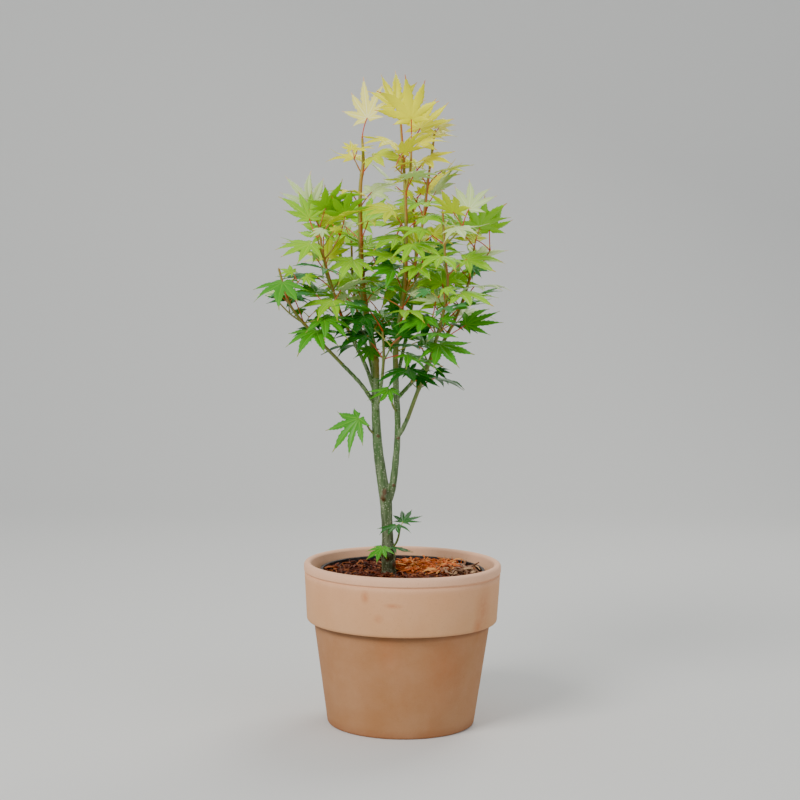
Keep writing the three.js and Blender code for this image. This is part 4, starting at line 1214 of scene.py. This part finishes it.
def leaf_shapes(group, draw):
    """Lobe lengths, turns, bays and bends of every leaf in a group, each a little different."""
    count = len(group)
    spread = np.array([leaf["spread"] for leaf in group])[:, None]
    age = np.array([leaf["age"] for leaf in group])[:, None]
    last = spread < 1
    turns = (LOBE_TURNS + draw.normal(0, LOBE_WANDER, (count, 7))) * spread
    lengths = LOBE_LENGTHS * (1 + draw.normal(0, LOBE_WANDER, (count, 7)))
    outermost = np.full((count, 1), BASE_TURN)
    borders = np.concatenate([-outermost, (turns[:, 1:] + turns[:, :-1]) / 2, outermost], 1)
    bays = (lengths[:, 1:] + lengths[:, :-1]) / 2 * (SINUS + draw.normal(0, 0.02, (count, 6)))
    bays = bays * np.where(last, TIP_BAY_DEPTH, 1)
    base = np.full((count, 1), BASE_REACH)
    return {
        "turns": turns, "lengths": lengths, "borders": borders,
        "bays": np.concatenate([base, bays, base], 1),
        "width": np.where(last, TIP_LOBE_WIDTH, 1) + draw.normal(0, 0.06, (count, 1)),
        "droop": np.where(last, 0.08, 0.12) + draw.normal(0, 0.02, (count, 1)),
        "fold": 0.42 + draw.normal(0, 0.06, (count, 1)),
        "bends": np.where(last, 0.04, 0.12 - 0.06 * age) + draw.normal(0, 0.07, (count, 7)),
        "sways": draw.normal(0, 0.05, (count, 7)),
        "twists": draw.normal(0, 0.5, (count, 7)),
        "phase": draw.uniform(0, 6, (count, 1)),
    }


def leaf_tone(leaf, spray):
    """The tone's name: by height, with a little chance for each spray, and a pale tone, a painted sheen,
    where a leaf in the middle of the crown faces up to the light."""
    level = leaf["age"] + 0.13 * spray
    # Painted sheen: a leaf in the middle of the crown that faces up gets a pale tone in place of the light it
    # would reflect.
    if 0.30 < leaf["age"] < 0.78 and spray > 0.74 and leaf["face"][2] > 0.35:
        return "pale_green"
    for floor, tone in TONE_FLOORS:
        if level > floor:
            return tone
    if level > 0.24:
        return "mid_green" if spray > -0.4 else "blue_green"
    return "deep_green" if spray < 0.5 else "mid_green"


def leaf_material(name, colour):
    """A leaf's skin: one plain colour, a soft sheen, a little light let through."""
    material = plain_material(name, colour, 0.48)
    sockets = material.node_tree.nodes["Principled BSDF"].inputs
    sockets["Subsurface Weight"].default_value = 0.12
    sockets["Subsurface Radius"].default_value = (0.0012, 0.0016, 0.0004)
    sockets["Subsurface Scale"].default_value = 1.0
    return material


top, under = leaf_sheet((0, 1, 2, 3)), leaf_sheet((0, 2, 3))
top_count = len(top[0])
rim = []
for (top_near, top_far), (low_near, low_far) in zip(top[3], np.array(under[3]) + top_count):
    rim += [(top_near, low_near, low_far), (top_near, low_far, top_far)]
one_leaf = np.concatenate([top[1], under[1][:, ::-1] + top_count, rim])
one_smooth = np.arange(len(one_leaf)) < len(top[1]) + len(under[1])
one_tint = np.concatenate([top[2], under[2], np.zeros(len(rim), int)])
tone_looks = {
    tone: [leaf_material(f"{tone}_{part}", colour) for part, colour in zip(("blade", "tip", "vein"), colours)]
    for tone, colours in TONES.items()
}
LEAF_PIECES = {
    "left_crown_leaves": ("left_crown",),
    "right_crown_leaves": ("right_crown",),
    "left_leaves": ("left_shoot", "left_low_shoot", "back_left_shoot", "front_shoot"),
    "right_leaves": ("right_shoot", "right_back_shoot", "back_shoot"),
    "low_leaves": ("low_left_spur", "low_right_spur", "right_base_sprout", "front_base_sprout"),
}
leaf_draw = np.random.default_rng(11)
for piece_name, mass_names in LEAF_PIECES.items():
    group = [leaf for leaf in leaves + fine_leaves if leaf["mass"] in mass_names]
    shape = leaf_shapes(group, leaf_draw)
    along, face, hearts, sizes = (
        np.array([leaf[key] for leaf in group]) for key in ("along", "face", "heart", "size"))
    frames = np.stack([np.cross(along, face), along, face], 1)
    sheets = []
    for table, lift in ((top[0], 0.5), (under[0], -0.5)):
        local = blade_places(table, shape) * sizes[:, None, None] + [0, 0, lift * BLADE_THICKNESS]
        sheets.append(hearts[:, None] + np.einsum("nvk,nkc->nvc", local, frames))
    points = np.concatenate(sheets, 1)
    faces = one_leaf[None] + points.shape[1] * np.arange(len(group))[:, None, None]
    sprays = [leaf_tone(leaf, spray) for leaf, spray in zip(group, leaf_draw.uniform(-1, 1, len(group)))]
    used = sorted(set(sprays))
    slots = np.concatenate([one_tint + 3 * used.index(tone) for tone in sprays])
    looks = [look for tone in used for look in tone_looks[tone]]
    piece = mesh_piece(piece_name, points.reshape(-1, 3) * MM, faces.reshape(-1, 3), looks, face_slots=slots)
    piece.data.polygons.foreach_set("use_smooth", np.tile(one_smooth, len(group)))
    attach(piece, "root")
    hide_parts(*mass_names)
